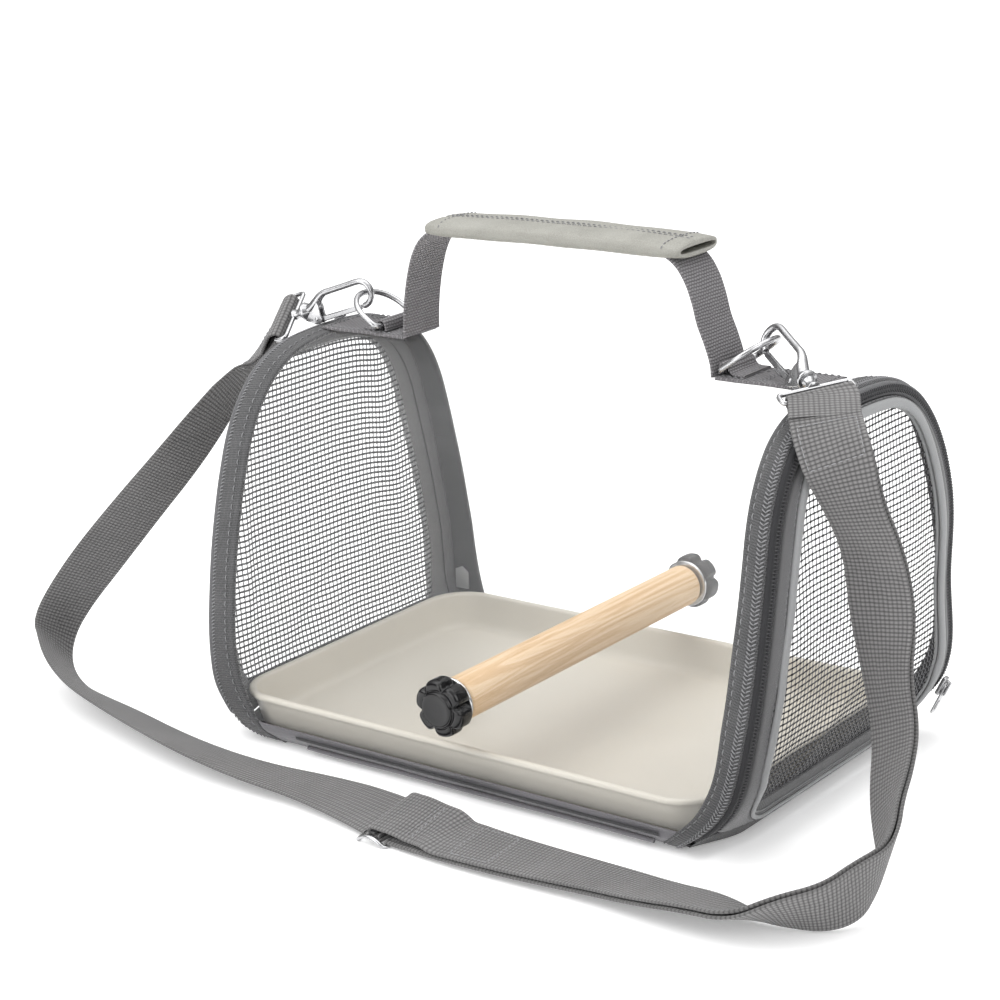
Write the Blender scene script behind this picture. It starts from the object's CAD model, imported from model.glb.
import math

import bpy
import numpy as np
from mathutils import Matrix, Vector


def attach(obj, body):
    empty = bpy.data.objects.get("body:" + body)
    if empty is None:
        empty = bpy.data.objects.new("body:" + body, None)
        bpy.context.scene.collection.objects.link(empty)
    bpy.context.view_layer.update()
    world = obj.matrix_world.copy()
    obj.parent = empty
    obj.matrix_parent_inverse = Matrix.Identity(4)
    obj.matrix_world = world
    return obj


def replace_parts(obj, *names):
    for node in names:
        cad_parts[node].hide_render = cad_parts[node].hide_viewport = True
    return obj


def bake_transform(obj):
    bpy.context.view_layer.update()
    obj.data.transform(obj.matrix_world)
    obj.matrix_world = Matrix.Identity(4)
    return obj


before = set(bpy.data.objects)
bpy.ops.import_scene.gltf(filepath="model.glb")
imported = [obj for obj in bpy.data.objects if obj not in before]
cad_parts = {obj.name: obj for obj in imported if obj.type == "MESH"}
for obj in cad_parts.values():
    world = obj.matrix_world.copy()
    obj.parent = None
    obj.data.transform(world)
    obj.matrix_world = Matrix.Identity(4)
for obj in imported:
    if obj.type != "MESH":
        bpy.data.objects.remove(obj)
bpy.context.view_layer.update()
MM = 0.001
A = np.array
scene = bpy.context.scene

# --------------------------------------------------------------------------
# camera
# --------------------------------------------------------------------------
YAW, PITCH, ROLL = math.radians(38.98198585), math.radians(16.80312708), math.radians(-3.17934019)
LENS = 89.2798
LOOK = A([-28.851, -23.674, 128.96])
back = A([math.sin(YAW) * math.cos(PITCH), -math.cos(YAW) * math.cos(PITCH), math.sin(PITCH)])
right0 = A([math.cos(YAW), math.sin(YAW), 0.0])
up0 = np.cross(back, right0)
cam_r = math.cos(ROLL) * right0 + math.sin(ROLL) * up0
cam_u = -math.sin(ROLL) * right0 + math.cos(ROLL) * up0
cam_c = (LOOK + back * 1239.997) * MM
cam_data = bpy.data.cameras.new("camera")
cam_data.lens = LENS
cam_data.sensor_width = 36.0
cam_data.sensor_fit = "AUTO"
cam_data.clip_start = 0.05
cam_data.clip_end = 50.0
cam = bpy.data.objects.new("camera", cam_data)
scene.collection.objects.link(cam)
cam.matrix_world = Matrix((
    (cam_r[0], cam_u[0], back[0], cam_c[0]),
    (cam_r[1], cam_u[1], back[1], cam_c[1]),
    (cam_r[2], cam_u[2], back[2], cam_c[2]),
    (0, 0, 0, 1)))
scene.camera = cam


# --------------------------------------------------------------------------
# small vector and mesh helpers (millimetres in, metres out)
# --------------------------------------------------------------------------
def unit(v):
    v = A(v, float)
    return v / max(np.linalg.norm(v), 1e-12)


def units(v):
    return v / np.maximum(np.linalg.norm(v, axis=-1, keepdims=True), 1e-12)


def square_to(v, a):
    v, a = A(v, float), unit(a)
    return unit(v - (v @ a) * a)


def make(name, verts, faces, mats, uvs=None, mat_index=None, smooth=True):
    me = bpy.data.meshes.new(name)
    me.from_pydata((A(verts, float).reshape(-1, 3) * MM).tolist(), [], faces)
    if not isinstance(mats, (list, tuple)):
        mats = [mats]
    for m in mats:
        me.materials.append(m)
    if uvs is not None:
        layer = me.uv_layers.new(name="UVMap")
        layer.data.foreach_set("uv", A(uvs, np.float32).reshape(-1))
    if mat_index is not None:
        me.polygons.foreach_set("material_index", A(mat_index, np.int32))
    me.polygons.foreach_set("use_smooth", [smooth] * len(me.polygons))
    me.update()
    ob = bpy.data.objects.new(name, me)
    scene.collection.objects.link(ob)
    return ob


class Build:
    """Collects grids and blobs into one mesh."""

    def __init__(self):
        self.v, self.f, self.uv, self.mi, self.n = [], [], [], [], 0

    def grid(self, P, cu=False, cv=False, U=None, V=None, flip=False, mat=0, caps=()):
        """P is (n, m, 3). U and V are coordinates in mm along each way, one longer where closed."""
        P = A(P, float)
        n, m = P.shape[:2]
        if U is None:
            d = np.linalg.norm(np.diff(P[:, 0], axis=0), axis=1)
            U = np.concatenate([[0], np.cumsum(d)])
            if cu:
                U = np.append(U, U[-1] + np.linalg.norm(P[0, 0] - P[-1, 0]))
        if V is None:
            d = np.linalg.norm(np.diff(P[0], axis=0), axis=1)
            V = np.concatenate([[0], np.cumsum(d)])
            if cv:
                V = np.append(V, V[-1] + np.linalg.norm(P[0, 0] - P[0, -1]))
        base = self.n
        self.v.append(P.reshape(-1, 3))
        self.n += n * m
        for i in range(n if cu else n - 1):
            i2 = (i + 1) % n
            for j in range(m if cv else m - 1):
                j2 = (j + 1) % m
                q = [base + i * m + j, base + i2 * m + j, base + i2 * m + j2, base + i * m + j2]
                w = [(U[i], V[j]), (U[i + 1], V[j]), (U[i + 1], V[j + 1]), (U[i], V[j + 1])]
                if flip:
                    q, w = q[::-1], w[::-1]
                self.f.append(q)
                self.uv.extend(w)
                self.mi.append(mat)
        for end in caps:
            i = 0 if end == 0 else n - 1
            q = [base + i * m + j for j in range(m)]
            if (end == 0) != flip:
                q = q[::-1]
            # fan of quads about the strip's middle
            mm = len(q)
            for k in range(mm // 2 - 1):
                self.f.append([q[k], q[k + 1], q[mm - 2 - k], q[mm - 1 - k]])
                self.uv.extend([(0, 0), (1, 0), (1, 1), (0, 1)])
                self.mi.append(mat)
            if mm % 2:
                k = mm // 2 - 1
                self.f.append([q[k], q[k + 1], q[k + 2]])
                self.uv.extend([(0, 0), (1, 0), (1, 1)])
                self.mi.append(mat)
        return self

    def faces(self, V, F, mat=0):
        base = self.n
        V = A(V, float)
        self.v.append(V)
        self.n += len(V)
        for f in F:
            self.f.append([base + k for k in f])
            self.uv.extend([(0, 0)] * len(f))
            self.mi.append(mat)
        return self

    def done(self, name, mats, smooth=True):
        return make(name, np.concatenate(self.v), self.f, mats, self.uv, self.mi, smooth)


def tube(b, path, radius, sides=8, closed=False, mat=0, flat=1.0, side=None, twist=0.0):
    """Tube along path; radius may be a list; flat squashes it along the frame's second axis."""
    path = A(path, float)
    n = len(path)
    if closed:
        t = units(np.roll(path, -1, 0) - np.roll(path, 1, 0))
    else:
        t = np.gradient(path, axis=0)
        t = units(t)
    if side is None:
        s0 = square_to((0.3, 0.2, 1.0) if abs(t[0][2]) < 0.8 else (1, 0.1, 0), t[0])
        frames = []
        s = s0
        for k in range(n):
            s = square_to(s, t[k])
            frames.append(s)
        S = A(frames)
    else:
        S = units(side - np.sum(side * t, 1, keepdims=True) * t)
    B = np.cross(t, S)
    r = np.ones(n) * radius if np.isscalar(radius) else A(radius, float)
    a = np.linspace(0, 2 * math.pi, sides, endpoint=False) + twist
    P = path[:, None] + r[:, None, None] * (np.cos(a)[None, :, None] * S[:, None] + flat * np.sin(a)[None, :, None] * B[:, None])
    b.grid(P, cu=closed, cv=True, caps=() if closed else (0, 1), mat=mat)


def hermite(P, t0, t1, per):
    P = A(P, float)
    d = np.linalg.norm(np.diff(P, axis=0), axis=1)
    n = len(P)
    T = np.zeros_like(P)
    for i in range(1, n - 1):
        s0, s1 = (P[i] - P[i - 1]) / d[i - 1], (P[i + 1] - P[i]) / d[i]
        T[i] = (s0 * d[i] + s1 * d[i - 1]) / (d[i] + d[i - 1])
    T[0], T[-1] = unit(t0), unit(t1)
    out = []
    for i in range(n - 1):
        for s in np.linspace(0, 1, per, endpoint=False):
            h = [2 * s**3 - 3 * s**2 + 1, s**3 - 2 * s**2 + s, -2 * s**3 + 3 * s**2, s**3 - s**2]
            out.append(h[0] * P[i] + h[1] * d[i] * T[i] + h[2] * P[i + 1] + h[3] * d[i] * T[i + 1])
    out.append(P[-1])
    return A(out)


def resample(P, n, closed=False):
    P = A(P, float)
    Q = np.vstack([P, P[:1]]) if closed else P
    s = np.concatenate([[0], np.cumsum(np.linalg.norm(np.diff(Q, axis=0), axis=1))])
    x = np.linspace(0, s[-1], n + 1)[:-1] if closed else np.linspace(0, s[-1], n)
    return np.stack([np.interp(x, s, Q[:, k]) for k in range(Q.shape[1])], -1)


def arclen(P):
    return np.concatenate([[0], np.cumsum(np.linalg.norm(np.diff(P, axis=0), axis=1))])


RNG = np.random.RandomState(7)
WAVES = [(RNG.uniform(0.4, 1.6), RNG.uniform(0.4, 1.6), RNG.uniform(0, 6.28), RNG.uniform(-1, 1)) for _ in range(9)]


def wob(u, v, scale, seed=0):
    """Smooth pseudo-random wave, about -1 to 1, with features about `scale` mm across."""
    out = 0
    for k, (a, b_, p, s) in enumerate(WAVES):
        out = out + np.sin((a * u + s * b_ * v) * 2.2 / scale + p + seed * (1.7 + k))
    return out / 4.5


# --------------------------------------------------------------------------
# materials
# --------------------------------------------------------------------------
class Graph:
    def __init__(self, name):
        self.mat = bpy.data.materials.new(name)
        self.mat.use_nodes = True
        self.nt = self.mat.node_tree
        self.bsdf = self.nt.nodes["Principled BSDF"]
        self.x = -200

    def node(self, kind, **kw):
        n = self.nt.nodes.new(kind)
        for k, v in kw.items():
            setattr(n, k, v)
        self.x -= 40
        n.location = (self.x, 0)
        return n

    def put(self, sock, v):
        if hasattr(v, "links") or hasattr(v, "is_output"):
            self.nt.links.new(v, sock)
        elif v is not None:
            sock.default_value = v

    def m(self, op, a, b=None, c=None, clamp=False):
        n = self.node("ShaderNodeMath", operation=op, use_clamp=clamp)
        self.put(n.inputs[0], a)
        if b is not None:
            self.put(n.inputs[1], b)
        if c is not None:
            self.put(n.inputs[2], c)
        return n.outputs[0]

    def uv(self):
        n = self.node("ShaderNodeUVMap", uv_map="UVMap")
        s = self.node("ShaderNodeSeparateXYZ")
        self.nt.links.new(n.outputs[0], s.inputs[0])
        return s.outputs[0], s.outputs[1], n.outputs[0]

    def obj(self, scale=(1, 1, 1), rot=(0, 0, 0)):
        n = self.node("ShaderNodeTexCoord")
        mp = self.node("ShaderNodeMapping")
        mp.inputs["Scale"].default_value = scale
        mp.inputs["Rotation"].default_value = rot
        self.nt.links.new(n.outputs["Object"], mp.inputs[0])
        return mp.outputs[0]

    def noise(self, vec, scale, detail=2.0, rough=0.5, dist=0.0):
        n = self.node("ShaderNodeTexNoise")
        self.nt.links.new(vec, n.inputs["Vector"])
        n.inputs["Scale"].default_value = scale
        n.inputs["Detail"].default_value = detail
        n.inputs["Roughness"].default_value = rough
        n.inputs["Distortion"].default_value = dist
        return n.outputs[0]

    def ramp(self, fac, stops):
        n = self.node("ShaderNodeValToRGB")
        el = n.color_ramp.elements
        while len(el) < len(stops):
            el.new(0.5)
        for e, (p, c) in zip(el, stops):
            e.position = p
            e.color = (*c, 1.0)
        self.put(n.inputs[0], fac)
        return n.outputs[0]

    def span(self, v, a, b, c, d):
        n = self.node("ShaderNodeMapRange")
        self.put(n.inputs[0], v)
        for k, q in zip((1, 2, 3, 4), (a, b, c, d)):
            n.inputs[k].default_value = q
        return n.outputs[0]

    def bump(self, height, dist, strength=1.0):
        n = self.node("ShaderNodeBump")
        n.inputs["Strength"].default_value = strength
        n.inputs["Distance"].default_value = dist
        self.put(n.inputs["Height"], height)
        self.nt.links.new(n.outputs[0], self.bsdf.inputs["Normal"])

    def set(self, **kw):
        names = {"color": "Base Color", "rough": "Roughness", "metal": "Metallic", "spec": "Specular IOR Level",
                 "sheen": "Sheen Weight", "sheen_r": "Sheen Roughness", "coat": "Coat Weight",
                 "coat_r": "Coat Roughness", "alpha": "Alpha", "sss": "Subsurface Weight"}
        for k, v in kw.items():
            sock = self.bsdf.inputs[names[k]]
            if k == "color" and isinstance(v, tuple):
                v = (*v, 1.0)
            self.put(sock, v)
        return self.mat


def lin(r, g=None, b=None):
    if g is None:
        g = b = r
    f = lambda c: (c / 255.0 / 12.92) if c <= 10 else ((c / 255.0 + 0.055) / 1.055) ** 2.4
    return tuple(f(c) for c in (r, g, b))


def scaled(c, k):
    return tuple(min(x * k, 1.0) for x in c)


def cloth(name, c, pitch=0.55, depth=0.00010, contrast=0.16, blotch=0.10, rough=0.85, sheen=0.25):
    """Fine plain-woven fabric, with UVs in millimetres."""
    g = Graph(name)
    u, v, uv = g.uv()
    su = g.m("SINE", g.m("MULTIPLY", g.m("ADD", u, v), 2 * math.pi / pitch))
    sv = g.m("SINE", g.m("MULTIPLY", g.m("SUBTRACT", v, g.m("MULTIPLY", u, 0.4)), 2 * math.pi / (pitch * 0.8)))
    w = g.m("MULTIPLY", su, sv)
    w = g.m("MULTIPLY_ADD", w, 0.5, 0.5)
    n1 = g.noise(uv, 0.06, 3.0, 0.55)
    n2 = g.noise(uv, 1.3, 2.0, 0.6)
    t = g.m("ADD", g.m("MULTIPLY", w, 0.5), g.m("MULTIPLY", n2, 0.5))
    t = g.m("ADD", g.m("MULTIPLY", t, 1 - blotch), g.m("MULTIPLY", n1, blotch * 2.0))
    col = g.ramp(t, [(0.25, scaled(c, 1 - contrast)), (0.55, c), (0.95, scaled(c, 1 + contrast * 1.4))])
    g.bump(g.m("ADD", w, g.m("MULTIPLY", n2, 0.8)), depth)
    return g.set(color=col, rough=g.span(n2, 0.3, 0.7, rough - 0.06, min(rough + 0.06, 1)), spec=0.25, sheen=sheen, sheen_r=0.4)


def webbing(name, c, row=1.9, col_=2.3, depth=0.00045, low=0.34, high=1.8, brick=0.0):
    """Ribbed strap webbing: u runs along it and v across it, in millimetres."""
    g = Graph(name)
    u, v, uv = g.uv()
    wander = g.noise(uv, 0.12, 2.0)
    uu = g.m("ADD", u, g.m("MULTIPLY", wander, 0.9))
    par = g.m("PINGPONG", uu, row)
    rib = g.m("SINE", g.m("MULTIPLY", uu, math.pi / row))
    rib = g.m("ABSOLUTE", rib)
    odd = g.m("FLOOR", g.m("MODULO", g.m("DIVIDE", uu, row), 2.0))
    sh = g.m("ADD", g.m("MULTIPLY", v, math.pi / col_), g.m("MULTIPLY", odd, brick * math.pi / 2))
    bead = g.m("ABSOLUTE", g.m("SINE", sh))
    h = g.m("MULTIPLY", g.m("POWER", rib, 0.7), g.m("MULTIPLY_ADD", bead, 0.62, 0.38))
    fib = g.noise(uv, 3.2, 2.0, 0.6)
    blot = g.noise(uv, 0.03, 3.0, 0.6)
    t = g.m("ADD", g.m("MULTIPLY", h, 0.72), g.m("MULTIPLY", fib, 0.22))
    t = g.m("ADD", t, g.m("MULTIPLY", g.m("SUBTRACT", blot, 0.5), 0.28))
    col = g.ramp(t, [(0.08, scaled(c, low)), (0.45, scaled(c, 0.92)), (0.95, scaled(c, high))])
    g.bump(g.m("ADD", h, g.m("MULTIPLY", fib, 0.25)), depth)
    return g.set(color=col, rough=g.span(fib, 0.3, 0.7, 0.68, 0.86), spec=0.3, sheen=0.2, sheen_r=0.4)


def metal(name, c, rough, brushed=0.0, scratch=0.5):
    g = Graph(name)
    o = g.obj((1, 1, 1))
    n = g.noise(o, 900.0, 3.0, 0.6)
    n2 = g.noise(o, 90.0, 3.0, 0.6)
    r = g.span(g.m("ADD", g.m("MULTIPLY", n, 0.35), g.m("MULTIPLY", n2, 0.65)), 0.3, 0.7, rough * 0.6, rough * 1.5)
    col = g.ramp(n2, [(0.2, scaled(c, 0.86)), (0.8, c)])
    g.bump(n, 0.00001 + brushed * 0.00004, scratch)
    return g.set(color=col, rough=r, metal=1.0)


def plastic(name, c, rough, grain=0.00004, scale=900.0, spec=0.5, vary=0.08, coat=0.0):
    g = Graph(name)
    o = g.obj((1, 1, 1))
    n = g.noise(o, scale, 3.0, 0.6)
    n2 = g.noise(o, 28.0, 3.0, 0.6)
    n3 = g.noise(o, 240.0, 2.0, 0.6)
    col = g.ramp(g.m("ADD", g.m("MULTIPLY", n2, 0.7), g.m("MULTIPLY", n3, 0.3)), [(0.25, scaled(c, 1 - vary)), (0.75, scaled(c, 1 + vary * 0.5))])
    g.bump(n, grain, 0.5)
    return g.set(color=col, rough=g.span(n2, 0.3, 0.7, rough * 0.85, rough * 1.15), spec=spec, coat=coat)


GREY = lin(124, 124, 125)
GREY_DARK = lin(88, 88, 90)
mat_cover = cloth("cover_fabric", lin(80, 80, 81), 1.9, 0.0004, 0.62, 0.14)
mat_cover_in = cloth("cover_lining", lin(52, 52, 54), 1.0, 0.00015, 0.3, 0.3)
mat_gusset = cloth("gusset_fabric", lin(104, 104, 105), 0.5, 0.00007, 0.10, 0.10, 0.75)
mat_piping = cloth("piping_fabric", lin(150, 151, 152), 0.5, 0.00007, 0.08, 0.08, 0.7)
mat_band = cloth("base_fabric", lin(104, 102, 106), 0.6, 0.0001, 0.16, 0.16, 0.42, 0.35)
mat_zip = cloth("zipper_tape", lin(46, 46, 48), 0.7, 0.00014, 0.30, 0.1)
mat_zip_grey = cloth("zipper_tape_grey", lin(96, 96, 98), 0.7, 0.00014, 0.30, 0.1)
mat_webbing = webbing("strap_webbing", lin(105, 104, 104))
mat_handle_web = webbing("handle_webbing_weave", lin(110, 108, 110), 1.5, 2.1, 0.0004, 0.34, 1.7, 1.0)
mat_chrome = metal("nickel_plate", (0.50, 0.50, 0.51), 0.24)
mat_steel = metal("bolt_steel", (0.56, 0.56, 0.58), 0.32, 1.0)
mat_washer = metal("washer_steel", (0.70, 0.70, 0.70), 0.16, 0.6)
mat_tooth = plastic("zipper_coil", lin(62, 62, 64), 0.45, 0.00002, 1500.0)
mat_knob = plastic("knob_black", lin(11, 10, 12), 0.17, 0.00001, 1400.0, 0.45, 0.15)
mat_knob_rear = plastic("knob_grey", lin(44, 44, 47), 0.45, 0.00003, 1400.0, 0.5, 0.12)
mat_tray = plastic("tray_plastic", lin(200, 195, 184), 0.42, 0.00003, 700.0, 0.45, 0.035)
mat_thread = plastic("stitch_thread", lin(134, 134, 136), 0.7, 0.00004, 3000.0, 0.3, 0.12)
mat_thread_dark = plastic("stitch_thread_grey", lin(146, 146, 148), 0.7, 0.00004, 3000.0, 0.3, 0.12)
mat_net_dark = plastic("net_knots", lin(44, 44, 46), 0.7, 0.00003, 3000.0, 0.25, 0.2)
mat_net_mid = plastic("net_weft", lin(74, 74, 76), 0.65, 0.00003, 3000.0, 0.25, 0.2)
mat_net_deep = plastic("net_warp_grey", lin(134, 134, 136), 0.65, 0.00003, 3000.0, 0.25, 0.2)
mat_net_pale = plastic("net_weft_grey", lin(88, 88, 90), 0.65, 0.00003, 3000.0, 0.25, 0.2)
mat_net_light = plastic("net_warp", lin(126, 126, 128), 0.6, 0.00003, 3000.0, 0.3, 0.15)


def film_material():
    g = Graph("clear_film")
    o = g.obj((1, 1, 1))
    n = g.noise(o, 9.0, 2.0, 0.5, 0.4)
    n2 = g.noise(o, 55.0, 2.0, 0.5)
    g.bump(g.m("ADD", g.m("MULTIPLY", n, 1.0), g.m("MULTIPLY", n2, 0.12)), 0.002, 0.5)
    m = g.set(color=(0.92, 0.93, 0.94), rough=0.05, spec=0.5, alpha=0.036)
    return m


def wood_material():
    g = Graph("perch_wood")
    o = g.obj((1, 1, 1))
    st = g.obj((130.0, 4.5, 130.0))
    fine = g.obj((700.0, 16.0, 700.0))
    n = g.noise(st, 1.0, 3.0, 0.55, 1.2)
    f = g.noise(fine, 1.0, 3.0, 0.6, 0.2)
    big = g.noise(o, 12.0, 2.0, 0.5)
    ring = g.m("MULTIPLY_ADD", g.m("SINE", g.m("MULTIPLY", n, 26.0)), 0.5, 0.5)
    t = g.m("ADD", g.m("MULTIPLY", ring, 0.42), g.m("MULTIPLY", f, 0.42))
    t = g.m("ADD", t, g.m("MULTIPLY", big, 0.2))
    col = g.ramp(t, [(0.18, lin(196, 160, 116)), (0.45, lin(214, 182, 142)), (0.8, lin(226, 200, 166))])
    g.bump(g.m("ADD", f, g.m("MULTIPLY", ring, 0.3)), 0.00012)
    return g.set(color=col, rough=g.span(f, 0.3, 0.7, 0.5, 0.68), spec=0.35)


def pad_material():
    g = Graph("grip_leatherette")
    u, v, uv = g.uv()
    vor = g.node("ShaderNodeTexVoronoi", feature="DISTANCE_TO_EDGE")
    g.nt.links.new(uv, vor.inputs["Vector"])
    vor.inputs["Scale"].default_value = 0.9
    cell = g.m("MINIMUM", vor.outputs["Distance"], 0.25)
    n = g.noise(uv, 0.05, 3.0, 0.6)
    f = g.noise(uv, 1.8, 3.0, 0.6)
    t = g.m("ADD", g.m("MULTIPLY", cell, 1.2), g.m("MULTIPLY", n, 0.7))
    col = g.ramp(t, [(0.2, lin(134, 133, 126)), (0.55, lin(154, 153, 146)), (0.95, lin(167, 166, 160))])
    g.bump(g.m("ADD", g.m("MULTIPLY", cell, 3.0), f), 0.00012)
    return g.set(color=col, rough=g.span(f, 0.3, 0.7, 0.46, 0.62), spec=0.45)


mat_film = film_material()
mat_wood = wood_material()
mat_pad = pad_material()
mat_board = plastic("base_board_fibre", lin(120, 98, 76), 0.8, 0.00015, 500.0, 0.2, 0.2)

# --------------------------------------------------------------------------
# shoulder strap: two cords, first of all
# --------------------------------------------------------------------------
# control points of each run's route in metres, with the direction of the webbing's width there
LEFT_RUN = [
    ((-0.1830, -0.0082, 0.2022), (-0.307, 0.814, 0.492)),
    ((-0.2002, -0.0058, 0.1891), (-0.330, 0.830, 0.440)),
    ((-0.2102, -0.0075, 0.1779), (-0.400, 0.900, 0.050)),
    ((-0.2153, -0.0170, 0.1655), (-0.280, 0.860, -0.350)),
    ((-0.2201, -0.0300, 0.1523), (-0.100, 0.840, -0.500)),
    ((-0.2353, -0.0450, 0.1276), (0.100, 0.860, -0.510)),
    ((-0.2592, -0.0570, 0.0989), (0.230, 0.840, -0.480)),
    ((-0.2852, -0.0650, 0.0692), (0.300, 0.800, -0.500)),
    ((-0.3044, -0.0730, 0.0441), (0.190, 0.860, -0.470)),
    ((-0.3100, -0.0805, 0.0290), (0.050, 0.800, -0.580)),
    ((-0.3025, -0.0890, 0.0190), (0.060, 0.620, -0.780)),
    ((-0.2760, -0.1046, 0.0146), (0.160, 0.680, -0.710)),
    ((-0.2524, -0.1109, 0.0114), (0.160, 0.830, -0.530)),
    ((-0.2232, -0.1165, 0.0096), (0.170, 0.880, -0.430)),
    ((-0.1814, -0.1265, 0.0086), (0.160, 0.910, -0.380)),
    ((-0.1400, -0.1332, 0.0073), (0.080, 0.960, -0.280)),
    ((-0.1031, -0.1341, 0.0055), (-0.030, 0.990, -0.160)),
    ((-0.0701, -0.1319, 0.0048), (0.000, 1.000, -0.050)),
    ((-0.0331, -0.1364, 0.0056), (0.050, 0.980, 0.120)),
    ((-0.0108, -0.1414, 0.0056), (0.050, 0.970, 0.200)),
]
RIGHT_RUN = [
    ((-0.0034, -0.1428, 0.0058), (0.050, 0.980, 0.200)),
    ((0.0224, -0.1450, 0.0058), (0.060, 0.990, 0.140)),
    ((0.0519, -0.1452, 0.0052), (0.020, 1.000, 0.050)),
    ((0.0826, -0.1438, 0.0048), (-0.020, 1.000, -0.020)),
    ((0.1146, -0.1419, 0.0048), (0.010, 0.990, -0.100)),
    ((0.1435, -0.1443, 0.0067), (0.100, 0.980, -0.160)),
    ((0.1687, -0.1462, 0.0101), (0.080, 0.970, -0.220)),
    ((0.1906, -0.1470, 0.0091), (-0.060, 0.920, -0.380)),
    ((0.2071, -0.1409, 0.0135), (-0.170, 0.680, -0.710)),
    ((0.2221, -0.1320, 0.0155), (-0.200, 0.460, -0.860)),
    ((0.2294, -0.1186, 0.0193), (-0.120, 0.290, -0.950)),
    ((0.2316, -0.1032, 0.0238), (-0.380, 0.320, -0.870)),
    ((0.2295, -0.0907, 0.0295), (-0.430, 0.360, -0.830)),
    ((0.2232, -0.0807, 0.0374), (-0.570, 0.330, -0.750)),
    ((0.2172, -0.0676, 0.0481), (-0.750, 0.270, -0.600)),
    ((0.2119, -0.0531, 0.0643), (-0.830, 0.320, -0.460)),
    ((0.2034, -0.0463, 0.0883), (-0.880, 0.360, -0.310)),
    ((0.1988, -0.0415, 0.1156), (-0.990, -0.060, -0.130)),
    ((0.1961, -0.0436, 0.1434), (-0.980, 0.100, -0.150)),
    ((0.1898, -0.0522, 0.1685), (-0.970, 0.090, -0.230)),
    ((0.1830, -0.0544, 0.1903), (-0.780, -0.450, -0.430)),
    ((0.1710, -0.0425, 0.2020), (-0.680, -0.730, -0.070)),
    ((0.1634, -0.0324, 0.2058), (-0.570, -0.810, -0.100)),
]
STRAP_W, STRAP_T, LAYER_GAP = 32.0, 1.6, 2.4


def spline_points(name, pts, res=14):
    """Points of the smooth line through a route's control points, as Blender's NURBS spline gives them."""
    cu = bpy.data.curves.new(name, "CURVE")
    cu.dimensions = "3D"
    sp = cu.splines.new("NURBS")
    sp.points.add(len(pts) - 1)
    for p, q in zip(sp.points, pts):
        p.co = (q[0], q[1], q[2], 1.0)
    sp.order_u = 3
    sp.use_endpoint_u = True
    sp.resolution_u = res
    ob = bpy.data.objects.new(name, cu)
    scene.collection.objects.link(ob)
    bpy.context.view_layer.update()
    me = bpy.data.meshes.new_from_object(ob)
    out = A([v.co[:] for v in me.vertices])
    bpy.data.objects.remove(ob)
    bpy.data.meshes.remove(me)
    bpy.data.curves.remove(cu)
    return out


def route(run, name):
    c = spline_points(name + "_line", [p for p, w in run]) * 1000.0
    e = spline_points(name + "_edge", [tuple(A(p) + 0.010 * unit(w)) for p, w in run]) * 1000.0
    keep = np.concatenate([[True], np.linalg.norm(np.diff(c, axis=0), axis=1) > 1e-4])
    c, e = c[keep], e[keep]
    t = units(np.gradient(c, axis=0))
    w = e - c
    w = units(w - np.sum(w * t, 1, keepdims=True) * t)
    return c, t, w, np.cross(t, w)


def strap_profile(width=STRAP_W, thick=STRAP_T, k=18):
    """Closed section of the webbing in (across, up), flat with rounded selvedges."""
    h, r = thick / 2, thick / 2
    xs = np.linspace(-width / 2 + r, width / 2 - r, k)
    top = [(x, h * (1 + 0.10 * math.cos(math.pi * x / width))) for x in xs]
    right = [(width / 2 - r + r * math.sin(a), h * math.cos(a)) for a in np.linspace(math.pi / 5, math.pi * 4 / 5, 4)]
    bot = [(x, -h * (1 + 0.10 * math.cos(math.pi * x / width))) for x in xs[::-1]]
    left = [(-width / 2 + r - r * math.sin(a), -h * math.cos(a)) for a in np.linspace(math.pi / 5, math.pi * 4 / 5, 4)]
    return A(top + right + bot + left)


def ribbon(b, c, t, w, n, width=STRAP_W, thick=STRAP_T, u0=0.0, mat=0, caps=(0, 1), curl=0.0):
    prof = strap_profile(width, thick)
    P = c[:, None] + prof[None, :, 0, None] * w[:, None] + prof[None, :, 1, None] * n[:, None]
    if curl:
        P = P + (curl * (prof[None, :, 0] / (width / 2)) ** 2)[..., None] * n[:, None]
    U = u0 + arclen(c)
    V = np.append(prof[:, 0], prof[0, 0])
    # the last face of the section closes it at the left selvedge
    b.grid(P, cv=True, U=U, V=V, mat=mat, caps=caps, flip=True)


def trim(c, t, w, n, a, b):
    """The part of a run between two lengths along it, with its ends exactly there."""
    s = arclen(c)
    a, b = s[-1] + a if a < 0 else a, s[-1] + b if b <= 0 else b
    x = np.concatenate([[a], s[(s > a + 0.3) & (s < b - 0.3)], [b]])
    f = lambda q: np.stack([np.interp(x, s, q[:, k]) for k in range(3)], -1)
    return f(c), units(f(t)), units(f(w)), units(f(n))


def at_len(c, t, w, n, a):
    s = arclen(c)
    a = s[-1] + a if a <= 0 else a
    g = lambda q: A([np.interp(a, s, q[:, k]) for k in range(3)])
    return g(c), unit(g(t)), unit(g(w)), unit(g(n))


def relax(path, per=9):
    """Smooth dense line through a few points."""
    path = A(path, float)
    return resample(hermite(path, path[1] - path[0], path[-1] - path[-2], per), per * len(path))


def flow(points, ways, per=8):
    """Ribbon frames through a few points, with the width direction given at each."""
    P = A(points, float)
    c = hermite(P, P[1] - P[0], P[-1] - P[-2], per)
    s0 = np.linspace(0, len(P) - 1, len(c))
    W = A(ways, float)
    w = np.stack([np.interp(s0, np.arange(len(P)), W[:, k]) for k in range(3)], -1)
    t = units(np.gradient(c, axis=0))
    w = units(w - np.sum(w * t, 1, keepdims=True) * t)
    return c, t, w, np.cross(t, w)


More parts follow.
